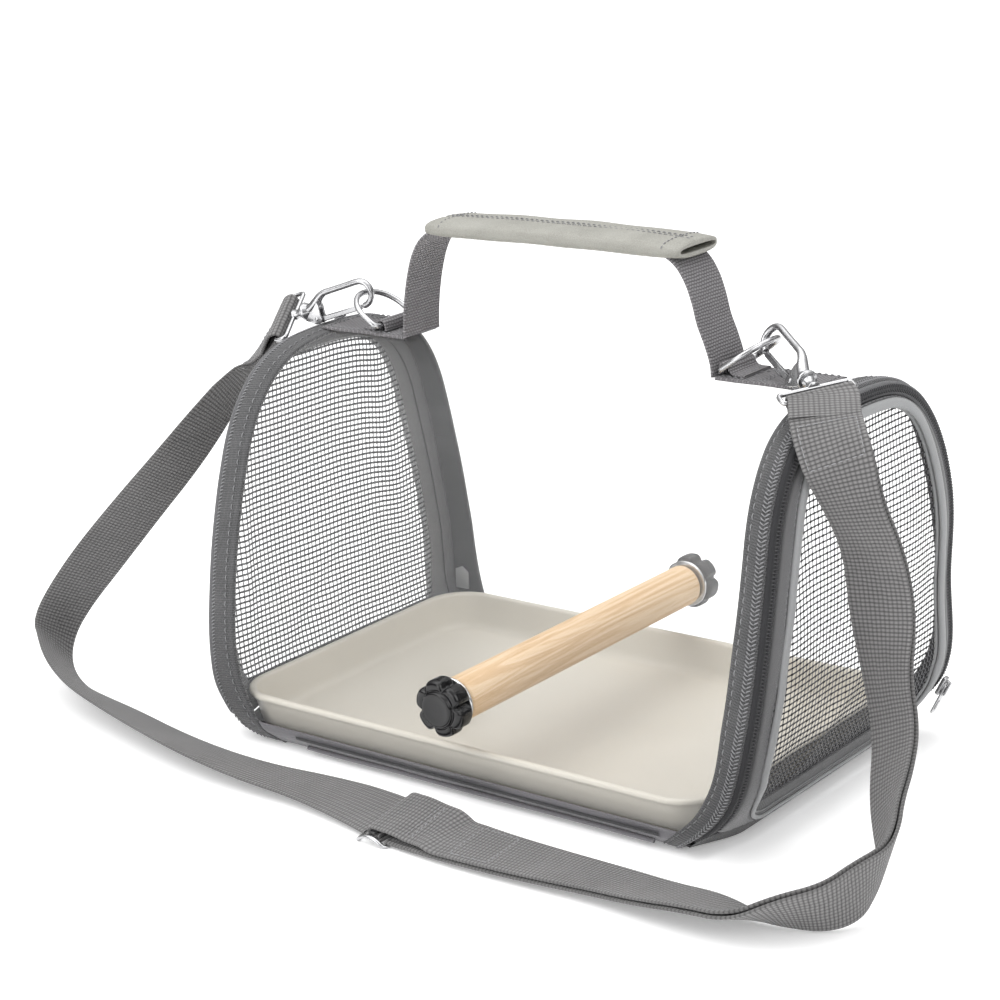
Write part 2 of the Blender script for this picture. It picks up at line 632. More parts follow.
def dashes(b, pts, normals, pitch, size, radius, lift=0.0, slant=0.0, mat=0, start=0.0, closed=False, sides=5):
    """Sewn stitches along a line: short thread arcs that dip into the cloth at both ends."""
    P, N = A(pts, float), A(normals, float)
    if closed:
        P, N = np.vstack([P, P[:1]]), np.vstack([N, N[:1]])
    s = arclen(P)
    n = int((s[-1] - start) / pitch)
    at_s = lambda q, x: np.stack([np.interp(x, s, q[:, k]) for k in range(3)], -1)
    T = units(np.gradient(P, axis=0))
    side = np.cross(T, N)
    for k in range(n):
        m = start + (k + 0.5) * (s[-1] - start) / n
        x = m + np.linspace(-0.5, 0.5, 5) * size
        q = at_s(P, x)
        nn = units(at_s(N, x))
        sd = units(at_s(side, x))
        off = np.linspace(-0.5, 0.5, 5)[:, None] * slant * sd
        rise = A([-0.9, 0.35, 0.75, 0.35, -0.9])[:, None] * radius + lift
        tube(b, q + off + rise * nn, radius * A([0.6, 1, 1, 1, 0.6]), sides, mat=mat)


# the two runs
LC = route(LEFT_RUN, "left_run")
RC = route(RIGHT_RUN, "right_run")
outer = (RC[0] - LAYER_GAP / 2 * RC[3], RC[1], RC[2], RC[3])
inner = (RC[0] + LAYER_GAP / 2 * RC[3], RC[1], RC[2], RC[3])
NOSE = 15.0            # from where the webbing turns round its eye

# hook data shared by the strap's folds and the metalwork
HOOKS = {
    "left": ((-133.4, -0.4, 220.2), unit((0.935, 0.162, 0.315)), (0, 0, 1), (-0.307, 0.814, 0.492)),
    "right": ((119.0, 0.0, 221.0), unit((-0.79, 0.52, 0.30)), (0.47, 0.38, 1.0), (0.78, 0.63, 0.0)),
}
HOOK_LEN = 38.0
R_BEAR = {"left": 2.5, "right": 0.7}


def eye_frame(end):
    bow, a, side, bar = HOOKS[end]
    base = A(bow) - HOOK_LEN * a
    b = square_to(bar, a)
    return base, a, b, np.cross(a, b)


def fold_round_bar(end, far, tail, name, body="carrier"):
    """Webbing that leaves run `far`, turns round the eye's bar and comes back onto run `tail`."""
    base, a, b, nb = eye_frame(end)
    c0, t0, w0, n0 = far
    c1, t1, w1, n1 = tail
    bar = base - 13.2 * a
    up = unit((c0 - c1) - ((c0 - c1) @ a) * a - ((c0 - c1) @ b) * b)
    sgn = 1.0 if up @ nb > 0 else -1.0
    e2 = nb * sgn
    wb = b if b @ w0 > 0 else -b
    wt = b if b @ w1 > 0 else -b
    pts = [c0, c0 * 0.55 + (bar + 2.7 * e2 - 3.0 * a) * 0.45 + 0.5 * e2, bar + 2.75 * e2 - 1.0 * a,
           bar + 2.55 * e2 + 0.8 * a, bar + 1.5 * e2 + 2.0 * a, bar + 2.25 * a, bar - 1.5 * e2 + 2.0 * a,
           bar - 2.55 * e2 + 0.8 * a, bar - 2.75 * e2 - 1.0 * a,
           c1 * 0.55 + (bar - 2.7 * e2 - 3.0 * a) * 0.45 - 0.5 * e2, c1]
    ways = [w0] + [w0 * 0.5 + wb * 0.5] + [wb] * 7 + [w1 * 0.5 + wb * 0.5, w1 if w1 @ wb > 0 else -w1]
    return flow(pts, ways, 7)


# left run: starts at its eye, ends in the slider
l0 = at_len(*LC, NOSE)
tail_c, tail_t, tail_w, tail_n = trim(*LC, NOSE, NOSE + 24.0)
nsg = 1.0
b_ = Build()
left_main = trim(*LC, NOSE, -1.2)
ribbon(b_, *left_main, caps=(0, 1))
strap_left = b_.done("strap_left_webbing", mat_webbing)
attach(strap_left, "carrier")
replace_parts(strap_left, "strap_left_run")

# the side of the left run that faces the body carries the sewn-down tail
inner_side = 1.0 if (A([0, 0, 60.0]) - l0[0]) @ l0[3] > 0 else -1.0
tail = (tail_c + inner_side * 1.75 * tail_n, tail_t, tail_w, tail_n)
tail0 = (tail[0][0], tail[1][0], tail[2][0], tail[3][0])
b_ = Build()
fc = fold_round_bar("left", l0, tail0, "left")
ribbon(b_, *fc, caps=(0, 1), u0=NOSE)
ribbon(b_, *tail, caps=(0, 1))
left_fold = b_.done("strap_left_fold", mat_webbing)
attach(left_fold, "carrier")

# right run: outer layer from the slider to the eye, round it, and back as the inner layer
b_ = Build()
right_outer_run = trim(*outer, 4.0, -NOSE)
ribbon(b_, *right_outer_run, caps=(0, 1))
strap_outer = b_.done("strap_right_outer_webbing", mat_webbing)
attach(strap_outer, "carrier")
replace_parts(strap_outer, "strap_right_outer")
s_in = arclen(RC[0])
start_in = float(np.interp(30.0, RC[0][:12 * 14, 0], s_in[:12 * 14]))
b_ = Build()
right_inner_run = trim(*inner, start_in + 7.5, -NOSE)
ribbon(b_, *right_inner_run, caps=(0, 1))
strap_inner = b_.done("strap_right_inner_webbing", mat_webbing)
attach(strap_inner, "carrier")
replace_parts(strap_inner, "strap_right_inner")
b_ = Build()
ro, ri = at_len(*outer, -NOSE), at_len(*inner, -NOSE)
fc = fold_round_bar("right", ro, ri, "right")
ribbon(b_, *fc, caps=(0, 1), u0=9.0)
right_fold = b_.done("strap_right_fold", mat_webbing)
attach(right_fold, "carrier")

# slider: the webbing comes up through one slot, over the middle bar and down the other
jc, jw = A(LEFT_RUN[-1][0]) * 1000.0, unit(LEFT_RUN[-1][1])
jt = square_to((38.0, -6.5, 0.0), jw)
jn = np.cross(jt, jw)
jn = jn if jn[2] > 0 else -jn
slide_c = jc + 3.7 * jt
b_ = Build()
lc1 = (left_main[0][-1], left_main[1][-1], left_main[2][-1])
rc1 = (right_outer_run[0][0], right_outer_run[1][0], right_outer_run[2][0])
span = [(3.5, 0.95), (0.0, 0.85), (-2.3, 1.25), (-3.2, 2.5), (-2.5, 4.2), (-0.6, 4.95), (4.5, 5.0), (9.1, 4.95), (13.0, 4.5),
        (20.0, 3.3), (28.0, 2.5)]
i0 = trim(*inner, start_in, start_in + 8.0)
pts = [slide_c + x * jt + z * jn for x, z in span] + [i0[0][0], i0[0][-1]]
fc = flow(pts, [jw] * 11 + [i0[2][0], i0[2][-1]], 6)
ribbon(b_, *fc, caps=(0, 1), u0=2.0)
over_fc = fc
# under the turn, the left webbing runs on into the right one
under = [lc1[0], slide_c - 3.0 * jt - 0.45 * jn, slide_c - 1.0 * jt - 0.85 * jn, slide_c + 3.0 * jt - 1.15 * jn, rc1[0]]
ribbon(b_, *flow(under, [lc1[2], jw, jw, jw, rc1[2]], 5), caps=(0, 1), u0=1.0)
over_bar = b_.done("strap_over_slider", mat_webbing)
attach(over_bar, "carrier")


def frame_ring(b, c, ex, ey, hx, hy, r, wire, flat, en, seg=10, mat=0, straight=8, bow=0.0):
    """Rounded rectangular wire frame."""
    pts = []
    for qx, qy, a0 in ((1, 1, 0), (-1, 1, 90), (-1, -1, 180), (1, -1, 270)):
        for k in range(seg + 1):
            an = math.radians(a0 + 90.0 * k / seg)
            pts.append(c + (qx * (hx - r) + r * math.cos(an)) * ex + (qy * (hy - r) + r * math.sin(an)) * ey)
    P = resample(A(pts), 4 * (seg + straight), closed=True)
    along = np.clip(((P - A(c)) @ A(ex)) / hx, -1, 1)
    P = P - bow * (along ** 2)[:, None] * A(en)
    tube(b, P, wire, 14, closed=True, side=np.tile(A(en), (len(P), 1)) * 1.0, flat=flat, mat=mat)


b_ = Build()
slide_p = slide_c + 2.5 * jn - 1.7 * jw
frame_ring(b_, slide_p, jt, jw, 9.1, 17.6, 2.4, 0.95, 1.25, jn, 10, straight=12, bow=4.5)
bar_ = A([slide_p + k * jw for k in np.linspace(-17.2, 17.2, 16)])
tube(b_, bar_, 0.95, 14, side=np.tile(jn, (16, 1)), flat=1.75)
slider = b_.done("strap_triglide", mat_chrome)
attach(slider, "carrier")
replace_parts(slider, "strap_slider")

# stitching on the strap
def sew(rows):
    b = Build()
    for (cc, tt, ww, nn), xs_, sgn in rows:
        for x in xs_:
            dashes(b, cc + x * ww + sgn * 0.86 * nn, sgn * nn, 3.0, 2.2, 0.26)
        for e in (0, -1):
            line = A([cc[e] + x * ww[e] + sgn * (0.83 + 0.08 * math.cos(math.pi * x / 32)) * nn[e]
                      for x in np.linspace(-13, 13, 20)])
            dashes(b, line, np.tile(sgn * nn[e], (20, 1)), 3.0, 2.2, 0.26)
    return b


strap_stitch = sew([(trim(*LC, NOSE + 7.0, NOSE + 22.0), (-12.5, 12.5), -inner_side)]).done("strap_left_stitches", mat_thread_dark)
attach(strap_stitch, "carrier"), strap_stitch
right_stitch = sew([(trim(*over_fc, 31.0, 34.0), (), 1.0),
                    (trim(*inner, start_in + 9.0, start_in + 30.0), (-13.0, 13.0), 1.0),
                    (trim(*inner, -NOSE - 24.0, -NOSE - 4.0), (-13.0, 13.0), 1.0)]).done("strap_right_stitches", mat_thread_dark)
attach(right_stitch, "carrier"), right_stitch

# --------------------------------------------------------------------------
# metalwork: D-rings, snap hooks, swivel eyes
# --------------------------------------------------------------------------


def lathe(b, c, axis, prof, sides=32, mat=0, ref=None):
    """Turned form about `axis`: prof is (distance along, radius)."""
    axis = unit(axis)
    e1 = square_to(ref if ref is not None else ((0, 0, 1) if abs(axis[2]) < 0.8 else (1, 0, 0)), axis)
    e2 = np.cross(axis, e1)
    an = np.linspace(0, 2 * math.pi, sides, endpoint=False)
    P = A([[A(c) + d * axis + r * (math.cos(x) * e1 + math.sin(x) * e2) for x in an] for d, r in prof])
    b.grid(P, cv=True, mat=mat, flip=True)


def plate(b, outline, c, ex, ey, en, half, bevel, mat=0, cut=None):
    """Flat plate of a given outline with bevelled edges; cut is a hole's outline with as many points."""
    O = A(outline, float)
    area = 0.5 * np.sum(O[:, 0] * np.roll(O[:, 1], -1) - np.roll(O[:, 0], -1) * O[:, 1])
    if area < 0:
        O = O[::-1]

    def inset(Q, d):
        e0 = units(Q - np.roll(Q, 1, 0))
        e1 = units(np.roll(Q, -1, 0) - Q)
        n0 = np.stack([-e0[:, 1], e0[:, 0]], -1)
        n1 = np.stack([-e1[:, 1], e1[:, 0]], -1)
        nn = units(n0 + n1)
        k = 1.0 / np.maximum(np.sum(nn * n1, -1, keepdims=True), 0.5)
        return Q + d * nn * k

    rows = []
    for d, z in ((bevel, -half), (bevel * 0.3, -half + bevel * 0.3), (0, -half + bevel), (0, half - bevel),
                 (bevel * 0.3, half - bevel * 0.3), (bevel, half)):
        Q = inset(O, d)
        rows.append([A(c) + q[0] * ex + q[1] * ey + z * en for q in Q])
    n0 = b.n
    m = len(O)
    right_handed = np.cross(ex, ey) @ en > 0
    b.grid(A(rows), cv=True, mat=mat, flip=right_handed)
    if cut is None:
        lo = list(range(n0, n0 + m))
        hi = list(range(n0 + 5 * m, n0 + 6 * m))
        for q, f in ((lo, right_handed), (hi, not right_handed)):
            q = q[::-1] if f else q
            b.f.append(q)
            b.uv.extend([(0, 0)] * m)
            b.mi.append(mat)
        return
    C = A(cut, float)
    ca = 0.5 * np.sum(C[:, 0] * np.roll(C[:, 1], -1) - np.roll(C[:, 0], -1) * C[:, 1])
    if ca < 0:
        C = C[::-1]
    rows2 = []
    for d, z in ((-bevel, -half), (0, -half + bevel), (0, half - bevel), (-bevel, half)):
        Q = inset(C, d)
        rows2.append([A(c) + q[0] * ex + q[1] * ey + z * en for q in Q])
    b.grid(A(rows2), cv=True, mat=mat, flip=not right_handed)
    b.grid(A([rows[0], rows2[0]]), cv=True, mat=mat, flip=not right_handed)
    b.grid(A([rows[5], rows2[3]]), cv=True, mat=mat, flip=right_handed)


def rounded(hx, hy, r, seg=6, cx=0.0, cy=0.0, fill=0):
    pts = []
    for qx, qy, a0 in ((1, 1, 0), (-1, 1, 90), (-1, -1, 180), (1, -1, 270)):
        for k in range(seg + 1):
            an = math.radians(a0 + 90.0 * k / seg)
            pts.append((cx + qx * (hx - r) + r * math.cos(an), cy + qy * (hy - r) + r * math.sin(an)))
    return pts


for end, (bow, a, side, bar) in HOOKS.items():
    s = -1 if end == "left" else 1
    apex = A(bow) + R_BEAR[end] * a
    horiz = math.sqrt(24.0 ** 2 - (apex[2] - 207.6) ** 2)
    bar_c = A([apex[0] - s * horiz, 0.0, 207.6])
    d = apex - bar_c
    d = unit((d[0], 0, d[2]))
    ey = A([0, 1.0, 0])
    pts = [bar_c + y * ey for y in np.linspace(-12.5, 12.5, 12)]
    for k in range(1, 7):
        an = math.radians(-90 + 90 * k / 6)
        pts.append(bar_c + (12.5 + 3.0 * math.cos(an)) * ey + (3.0 + 3.0 * math.sin(an)) * d)
    for k in range(1, 5):
        pts.append(bar_c + 15.5 * ey + (3.0 + 5.5 * k / 4) * d)
    for k in range(1, 30):
        an = math.pi * k / 30
        pts.append(bar_c + 15.5 * math.cos(an) * ey + (8.5 + 15.5 * math.sin(an)) * d)
    for k in range(0, 5):
        pts.append(bar_c - 15.5 * ey + (8.5 - 5.5 * k / 4) * d)
    for k in range(1, 6):
        an = math.radians(180 + 90 * k / 6)
        pts.append(bar_c + (-12.5 + 3.0 * math.cos(an)) * ey + (3.0 + 3.0 * math.sin(an)) * d)
    b_ = Build()
    P = resample(A(pts), 96, closed=True)
    nrm = np.cross(ey, d)
    tube(b_, P, 1.5, 14, closed=True, side=np.tile(nrm, (96, 1)))
    o = b_.done(end + "_d_ring_wire", mat_chrome)
    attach(o, "carrier"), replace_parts(o, end + "_d_ring"), o

    # snap hook
    p = square_to(side, a)
    n = np.cross(a, p)
    base = A(bow) - HOOK_LEN * a
    H = lambda x, y, z=0.0: base + x * a + y * p + z * n
    path = [(3.0, 0.2), (6.0, 1.0), (9.5, 2.9), (12.5, 5.0), (16.0, 6.35), (20.0, 6.5), (26.0, 6.5), (32.0, 6.5),
            (HOOK_LEN, 6.5)]
    rad = [3.4, 3.3, 3.0, 2.5, 2.1, 1.95, 1.9, 1.9, 1.9]
    for k in range(1, 15):
        an = math.radians(90 - 180 * k / 14)
        path.append((HOOK_LEN + 6.5 * math.cos(an), 6.5 * math.sin(an)))
        rad.append(1.9)
    path.append((HOOK_LEN - 0.25, -6.5))
    rad.append(1.8)
    pp = A([H(x, y) for x, y in path])
    dense = hermite(pp, pp[1] - pp[0], pp[-1] - pp[-2], 4)
    rr = np.interp(np.linspace(0, len(rad) - 1, len(dense)), np.arange(len(rad)), rad)
    b_ = Build()
    tube(b_, dense, rr, 16, side=np.tile(n, (len(dense), 1)) * 1.0, flat=0.86)
    # cheeks that hold the gate's pin
    cheek = [(1.2, -4.8), (4.5, -6.9), (6.5, -8.1), (8.5, -8.5), (10.4, -8.0), (11.2, -6.4), (11.0, -3.6),
             (11.6, 0.5), (11.0, 3.4), (6.0, 2.2), (2.4, 1.0), (1.0, -1.5)]
    for z in (-2.05, 2.05):
        plate(b_, cheek, H(0, 0, z), a, p, n, 0.58, 0.25)
    plate(b_, [(1.2, -4.6), (3.6, -5.6), (4.9, -3.6), (8.0, -1.9), (11.0, -0.8), (11.4, 3.0), (6.0, 2.4), (2.2, 1.2)],
          H(0, 0, 0), a, p, n, 1.6, 0.2)
    lathe(b_, H(0, 0), a, [(0.1, 0.05), (0.1, 4.2), (0.5, 4.8), (1.6, 4.9), (2.5, 4.4), (4.2, 3.4), (6.0, 2.6), (6.4, 0.05)], 28)
    o = b_.done(end + "_hook_bow", mat_chrome)
    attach(o, "carrier"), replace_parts(o, end + "_hook_body"), o

    b_ = Build()
    lathe(b_, H(8.0, -5.6), n, [(-3.0, 0.05), (-3.0, 0.8), (-2.75, 1.15), (-2.66, 1.18), (-2.62, 0.98), (2.62, 0.98),
                              (2.66, 1.18), (2.75, 1.15), (3.0, 0.8), (3.0, 0.05)], 18)
    o = b_.done(end + "_gate_rivet", mat_chrome)
    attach(o, "carrier"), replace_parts(o, end + "_gate_pin"), o

    b_ = Build()
    tip = HOOK_LEN - 1.7
    gate = [(6.3, -6.0), (6.6, -7.2), (7.6, -7.75), (9.0, -7.9), (20.0, -8.0), (tip - 0.8, -8.1), (tip, -7.6), (tip, -6.0),
            (tip - 0.8, -5.4), (20.0, -5.2), (12.0, -5.0), (10.6, -4.5), (9.2, -3.95), (7.4, -3.9), (6.5, -4.6)]
    cut = [(8.0 + 1.06 * math.cos(k), -5.6 + 1.06 * math.sin(k)) for k in np.linspace(math.pi, 3 * math.pi, 15, endpoint=False)]
    plate(b_, gate, H(0, 0), a, p, n, 1.15, 0.42, cut=cut)
    # a thumb bead on the back of the gate
    tube(b_, A([H(17.5 + k, -8.1 - 0.45 * math.sin(math.pi * k / 7.0)) for k in np.linspace(0, 7, 12)]),
         0.7, 8, side=np.tile(n, (12, 1)), flat=0.8)
    o = b_.done(end + "_hook_latch", mat_chrome)
    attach(o, end + "_gate"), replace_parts(o, end + "_hook_gate"), o

    # swivel eye
    base, a, b, nb = eye_frame(end)
    b_ = Build()
    frame_ring(b_, base - 9.7 * a, b, a, 17.65, 3.5, 1.9, 1.25, 0.92, nb, 8, straight=8)
    lathe(b_, base - 6.4 * a, a, [(-0.3, 0.05), (-0.3, 3.0), (0.4, 3.2), (1.2, 2.7), (2.4, 2.45), (4.4, 2.45), (5.2, 3.1), (5.8, 3.2), (6.2, 2.6), (6.3, 0.05)], 28)
    o = b_.done(end + "_swivel_eye", mat_chrome)
    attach(o, "carrier"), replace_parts(o, end + "_hook_eye"), o
    HOOKS[end] = (*HOOKS[end], bar_c, d)

# --------------------------------------------------------------------------
# the tunnel's section and end curves, as in the CAD
# --------------------------------------------------------------------------
CORNER_R, BASE_LIP, FILM_T, RIM_T = 16.0, 12.5, 0.6, 2.4
SIDE = [(98.0, 16.0), (99.0, 28.0), (99.6, 45.0), (98.9, 60.0), (96.2, 80.0),
        (92.7, 100.0), (88.1, 120.0), (82.8, 140.0), (76.2, 160.0),
        (71.0, 170.5), (64.4, 180.0), (55.2, 189.2), (44.0, 195.8),
        (31.0, 199.9), (16.0, 201.6), (0.0, 202.0)]
END_L = [(0.0, -156.0), (6.0, -159.5), (13.0, -162.0), (25.0, -164.0),
         (41.0, -165.0), (68.0, -165.0), (93.0, -164.8), (130.0, -164.0),
         (165.0, -162.0), (215.0, -158.5)]
END_R = [(0.0, 131.0), (6.0, 136.0), (13.0, 141.5), (25.0, 149.0),
         (41.0, 156.0), (68.0, 162.0), (93.0, 164.5), (130.0, 165.0),
         (165.0, 163.4), (215.0, 160.0)]
WIN_L = [(0.0, -122.0), (4.0, -131.0), (10.0, -137.0), (20.0, -141.8),
         (30.0, -145.2), (43.0, -147.8), (70.0, -149.0), (110.0, -148.8),
         (150.0, -147.5), (215.0, -143.5)]
WIN_R = [(0.0, 107.0), (10.0, 120.0), (23.0, 133.6), (40.0, 143.6),
         (73.0, 149.9), (107.0, 152.4), (126.0, 152.8), (165.0, 151.2),
         (215.0, 147.5)]
ENDS = {"left": (END_L, WIN_L, -1), "right": (END_R, WIN_R, 1)}


def soft_table(tab):
    """The table's curve with its corners eased, as (heights, x)."""
    z = A([q[0] for q in tab])
    x = A([q[1] for q in tab])
    P = np.stack([x, z], -1)
    t = np.gradient(P, axis=0)
    Q = hermite(P, t[0], t[-1], 8)
    o = np.argsort(Q[:, 1])
    return Q[o, 1], Q[o, 0]


SOFT = {id(tb): soft_table(tb) for tb in (END_L, END_R, WIN_L, WIN_R)}


def at(tab, z):
    zz, xx = SOFT[id(tab)]
    return np.interp(np.maximum(z, 0.0), zz, xx)


EASE = {-1: 18.0, 1: 15.0}


def ease_corner(o, sx):
    """Draw the lower corners of an end inward, so that its outline turns in a soft curve at the floor."""
    out_tab, win_tab = (END_L, WIN_L) if sx < 0 else (END_R, WIN_R)
    n = len(o.data.vertices)
    co = np.empty(n * 3)
    o.data.vertices.foreach_get("co", co)
    co = co.reshape(n, 3)
    x, y, z = co[:, 0] / MM, co[:, 1] / MM, co[:, 2] / MM
    g = np.clip(1 - z / 36.0, 0, 1) ** 2
    h = np.clip((np.abs(y) - 58.0) / 41.0, 0, 1)
    h = h * h * (3 - 2 * h)
    xi, xo = at(win_tab, z), at(out_tab, z)
    k = np.clip((x - xi) / (xo - xi), 0, 1)
    far = np.clip((y - 20.0) / 72.0, 0, 1)
    far = 7.0 * far * far * (3 - 2 * far) * np.exp(-((z - 84.0) / 38.0) ** 2) * (sx > 0)
    co[:, 0] -= (sx * EASE[sx] * g * h + far) * k * MM
    o.data.vertices.foreach_set("co", co.ravel())
    o.data.update()


def arch_half(side_in, top_in, z_low, r, ns=90, na=14, nb=22):
    """Right half of an inset arch, from the middle of the floor over the corner to the top: (y, z)."""
    S = A(SIDE)
    pts = []
    n = len(S)
    for i in range(n):
        y0, z0 = S[max(i - 1, 0)]
        y1, z1 = S[min(i + 1, n - 1)]
        if i == n - 1:
            ny, nz = 0.0, 1.0
        elif i == 0:
            ny, nz = 1.0, 0.0
        else:
            m = math.hypot(y1 - y0, z1 - z0)
            ny, nz = (z1 - z0) / m, -(y1 - y0) / m
        dd = side_in + (top_in - side_in) * max(nz, 0.0) ** 2
        pts.append((S[i][0] - dd * ny, S[i][1] - dd * nz))
    pts = A(pts)
    start = A([pts[0][0], z_low + r])
    rest = pts[1:][pts[1:, 1] > z_low + r + 6.0]
    side = hermite(np.vstack([start, rest]), (0, 1), (-1, 0), 12)
    side = resample(side, ns)
    arc = A([(start[0] - r + r * math.sin(k), z_low + r - r * math.cos(k)) for k in np.linspace(0, math.pi / 2, na)])
    bot = np.stack([np.linspace(0, start[0] - r, nb), np.full(nb, z_low)], -1)
    return np.vstack([bot[:-1], arc[:-1], side])


def arch_loop(side_in, top_in, z_low, r, **k):
    """Closed loop: floor middle, +Y side, top, -Y side, back to the floor middle."""
    h = arch_half(side_in, top_in, z_low, r, **k)
    m = h[1:-1][::-1] * A([-1, 1])
    return np.vstack([h, m])


def loop_normals(L):
    t = np.roll(L, -1, 0) - np.roll(L, 1, 0)
    n = np.stack([t[:, 1], -t[:, 0]], -1)
    return units(n)


OUT = arch_loop(0, 0, 0, CORNER_R)
OUT_N = loop_normals(OUT)
OUT_S = np.concatenate([[0], np.cumsum(np.linalg.norm(np.diff(np.vstack([OUT, OUT[:1]]), axis=0), axis=1))])
NL = len(OUT)


def on_loop(L, x, z_for_x=None):
    return np.stack([x, L[:, 0], L[:, 1]], -1)


# --------------------------------------------------------------------------
# clear film
# --------------------------------------------------------------------------
PERCH_X, PERCH_Z, STUD_R = -3.0, 52.0, 3.0
k0 = np.where((OUT[:, 1] > BASE_LIP + 0.2))[0]
# from the +Y lip over the top to the -Y lip
film_loop, film_n = OUT[k0], OUT_N[k0]
first = film_loop[0].copy()
nx = 150
us = np.linspace(0, 1, nx)


def film_skin(depth):
    rows = []
    xl = at(WIN_L, film_loop[:, 1]) + 0.6 - 3.0
    xr = at(WIN_R, film_loop[:, 1]) - 0.6 + 3.0
    for u in us:
        x = xl + (xr - xl) * u
        y, z = film_loop[:, 0], film_loop[:, 1]
        arc = OUT_S[k0]
        ripple = 0.35 * wob(x, arc, 85.0, 1) + 0.10 * wob(x, arc, 31.0, 2)
        edge = np.clip(np.minimum(u, 1 - u) * 12, 0, 1)
        hold = np.clip((np.hypot(x - PERCH_X, z - PERCH_Z) - 14) / 40, 0, 1)
        low = np.clip((z - BASE_LIP) / 25, 0, 1)
        d = -depth - 0.35 + np.minimum(ripple, 0.25) * edge * hold * low
        rows.append(np.stack([x, y + d * film_n[:, 0], z + d * film_n[:, 1]], -1))
    return A(rows)


b_ = Build()
so, si = film_skin(0.0), film_skin(0.35)
n0 = b_.n
b_.grid(so, flip=False)
b_.grid(si, flip=True)
m_ = so.shape[1]
for a1, a2, fl in ((so[0], si[0], True), (so[-1], si[-1], False)):
    b_.grid(A([a1, a2]), flip=fl)
b_.grid(A([so[:, 0], si[:, 0]]), flip=False)
b_.grid(A([so[:, -1], si[:, -1]]), flip=True)
film = b_.done("clear_window_film", mat_film)
# holes for the perch studs
import bmesh
bm = bmesh.new()
bm.from_mesh(film.data)
bmesh.ops.remove_doubles(bm, verts=bm.verts, dist=1e-6)
cx, cz = PERCH_X * MM, PERCH_Z * MM
gone = [v for v in bm.verts if math.hypot(v.co.x - cx, v.co.z - cz) < 3.4 * MM]
bmesh.ops.delete(bm, geom=gone, context="VERTS")
for v in bm.verts:
    if v.is_boundary:
        dx, dz = v.co.x - cx, v.co.z - cz
        q = math.hypot(dx, dz)
        if 1e-6 < q < 7 * MM:
            v.co.x, v.co.z = cx + dx / q * 3.7 * MM, cz + dz / q * 3.7 * MM
bm.to_mesh(film.data)
bm.free()
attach(film, "carrier"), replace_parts(film, "clear_window"), film

# --------------------------------------------------------------------------
# base cover, board, piping
# --------------------------------------------------------------------------
low_idx = np.concatenate([np.arange(0, NL)[(OUT[:, 1] <= BASE_LIP + 0.01) & (OUT[:, 0] <= 0)], np.arange(0, NL)[(OUT[:, 1] <= BASE_LIP + 0.01) & (OUT[:, 0] > 0)]])
half = arch_half(0, 0, 0, CORNER_R, ns=90, na=22, nb=30)
hz = half[:, 1]
cut_i = int(np.argmax(hz > BASE_LIP))
z0_, z1_ = hz[cut_i - 1], hz[cut_i]
k_ = (BASE_LIP - z0_) / (z1_ - z0_)
lip = half[cut_i - 1] * (1 - k_) + half[cut_i] * k_
halfL = np.vstack([half[:cut_i], lip])
sect = np.vstack([halfL[::-1] * A([-1, 1]), halfL[1:]])     # -Y lip, floor, +Y lip
tt = np.gradient(sect, axis=0)
sn = units(np.stack([tt[:, 1], -tt[:, 0]], -1))
nxs = 190


def base_skin(d_out, grow=0.0):
    xl = at(WIN_L, sect[:, 1]) - 5.0
    xr = at(WIN_R, sect[:, 1])
    rows = []
    s_ = arclen(sect)
    for u in np.linspace(0, 1, nxs):
        x = xl + (xr - xl) * u
        z = sect[:, 1]
        side = np.clip(z / 9.0, 0, 1) * np.clip((np.abs(sect[:, 0]) - 80) / 8, 0, 1)
        fold = 0.55 * np.sin(z * 0.9 + 1.6 * wob(x, 0 * x, 60, 3) + 0.5) + 0.35 * wob(x, z * 5, 24, 4)
        d = d_out + grow * side * fold - 1.0 * np.clip((xl + 6.5 - x) / 2.0, 0, 1)
        y, zz = sect[:, 0] + d * sn[:, 0], sect[:, 1] + d * sn[:, 1]
        rows.append(np.stack([x, y, np.maximum(zz, 0.02)], -1))
    return A(rows)


b_ = Build()
so, si = base_skin(0.15, 0.75), base_skin(-1.25, 0.2)
b_.grid(so, flip=True)
b_.grid(si, flip=False, mat=1)
ya = 0.5 * (so[:, 0] + si[:, 0]) + A([0, 0, 0.35])
yb = 0.5 * (so[:, -1] + si[:, -1]) + A([0, 0, 0.35])
b_.grid(A([so[:, 0], ya, si[:, 0]]), flip=False)
b_.grid(A([so[:, -1], yb, si[:, -1]]), flip=True)
b_.grid(A([so[0], si[0]]), flip=False)
b_.grid(A([so[-1], si[-1]]), flip=True)
base = b_.done("base_cover_cloth", [mat_band, mat_cover_in])
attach(base, "carrier"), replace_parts(base, "base_cover"), base

b_ = Build()
for s in (-1, 1):
    rod = (CORNER_R + 1.0) * math.sqrt(0.5)
    x = np.linspace(-107, 108, 120)
    y = s * (98.0 - CORNER_R + rod) + 0.25 * wob(x, 0 * x, 45, 5)
    z = CORNER_R - rod + 0.2 * wob(x, 0 * x, 38, 6)
    tube(b_, np.stack([x, y, z], -1), 1.2, 10)
    # narrow flange of the piping under the lip
pip = b_.done("base_piping_cord", mat_band)
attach(pip, "carrier"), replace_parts(pip, "base_piping_front", "base_piping_rear"), pip

b_ = Build()
for s in (-1, 1):
    rows = []
    for x in np.linspace(-112, 113, 130):
        row = []
        for k, an in enumerate(np.linspace(-0.9, 0.9, 6)):
            a0 = math.radians(-24) + an * 0.085
            rr_ = CORNER_R + 0.62 + 0.35 * math.cos(an * 1.6)
            row.append((x, s * (98.0 - CORNER_R + rr_ * math.cos(a0)), CORNER_R + rr_ * math.sin(a0)))
        rows.append(row)
    b_.grid(A(rows), flip=s > 0)
seam = b_.done("base_lip_binding", mat_zip)
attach(seam, "carrier"), seam

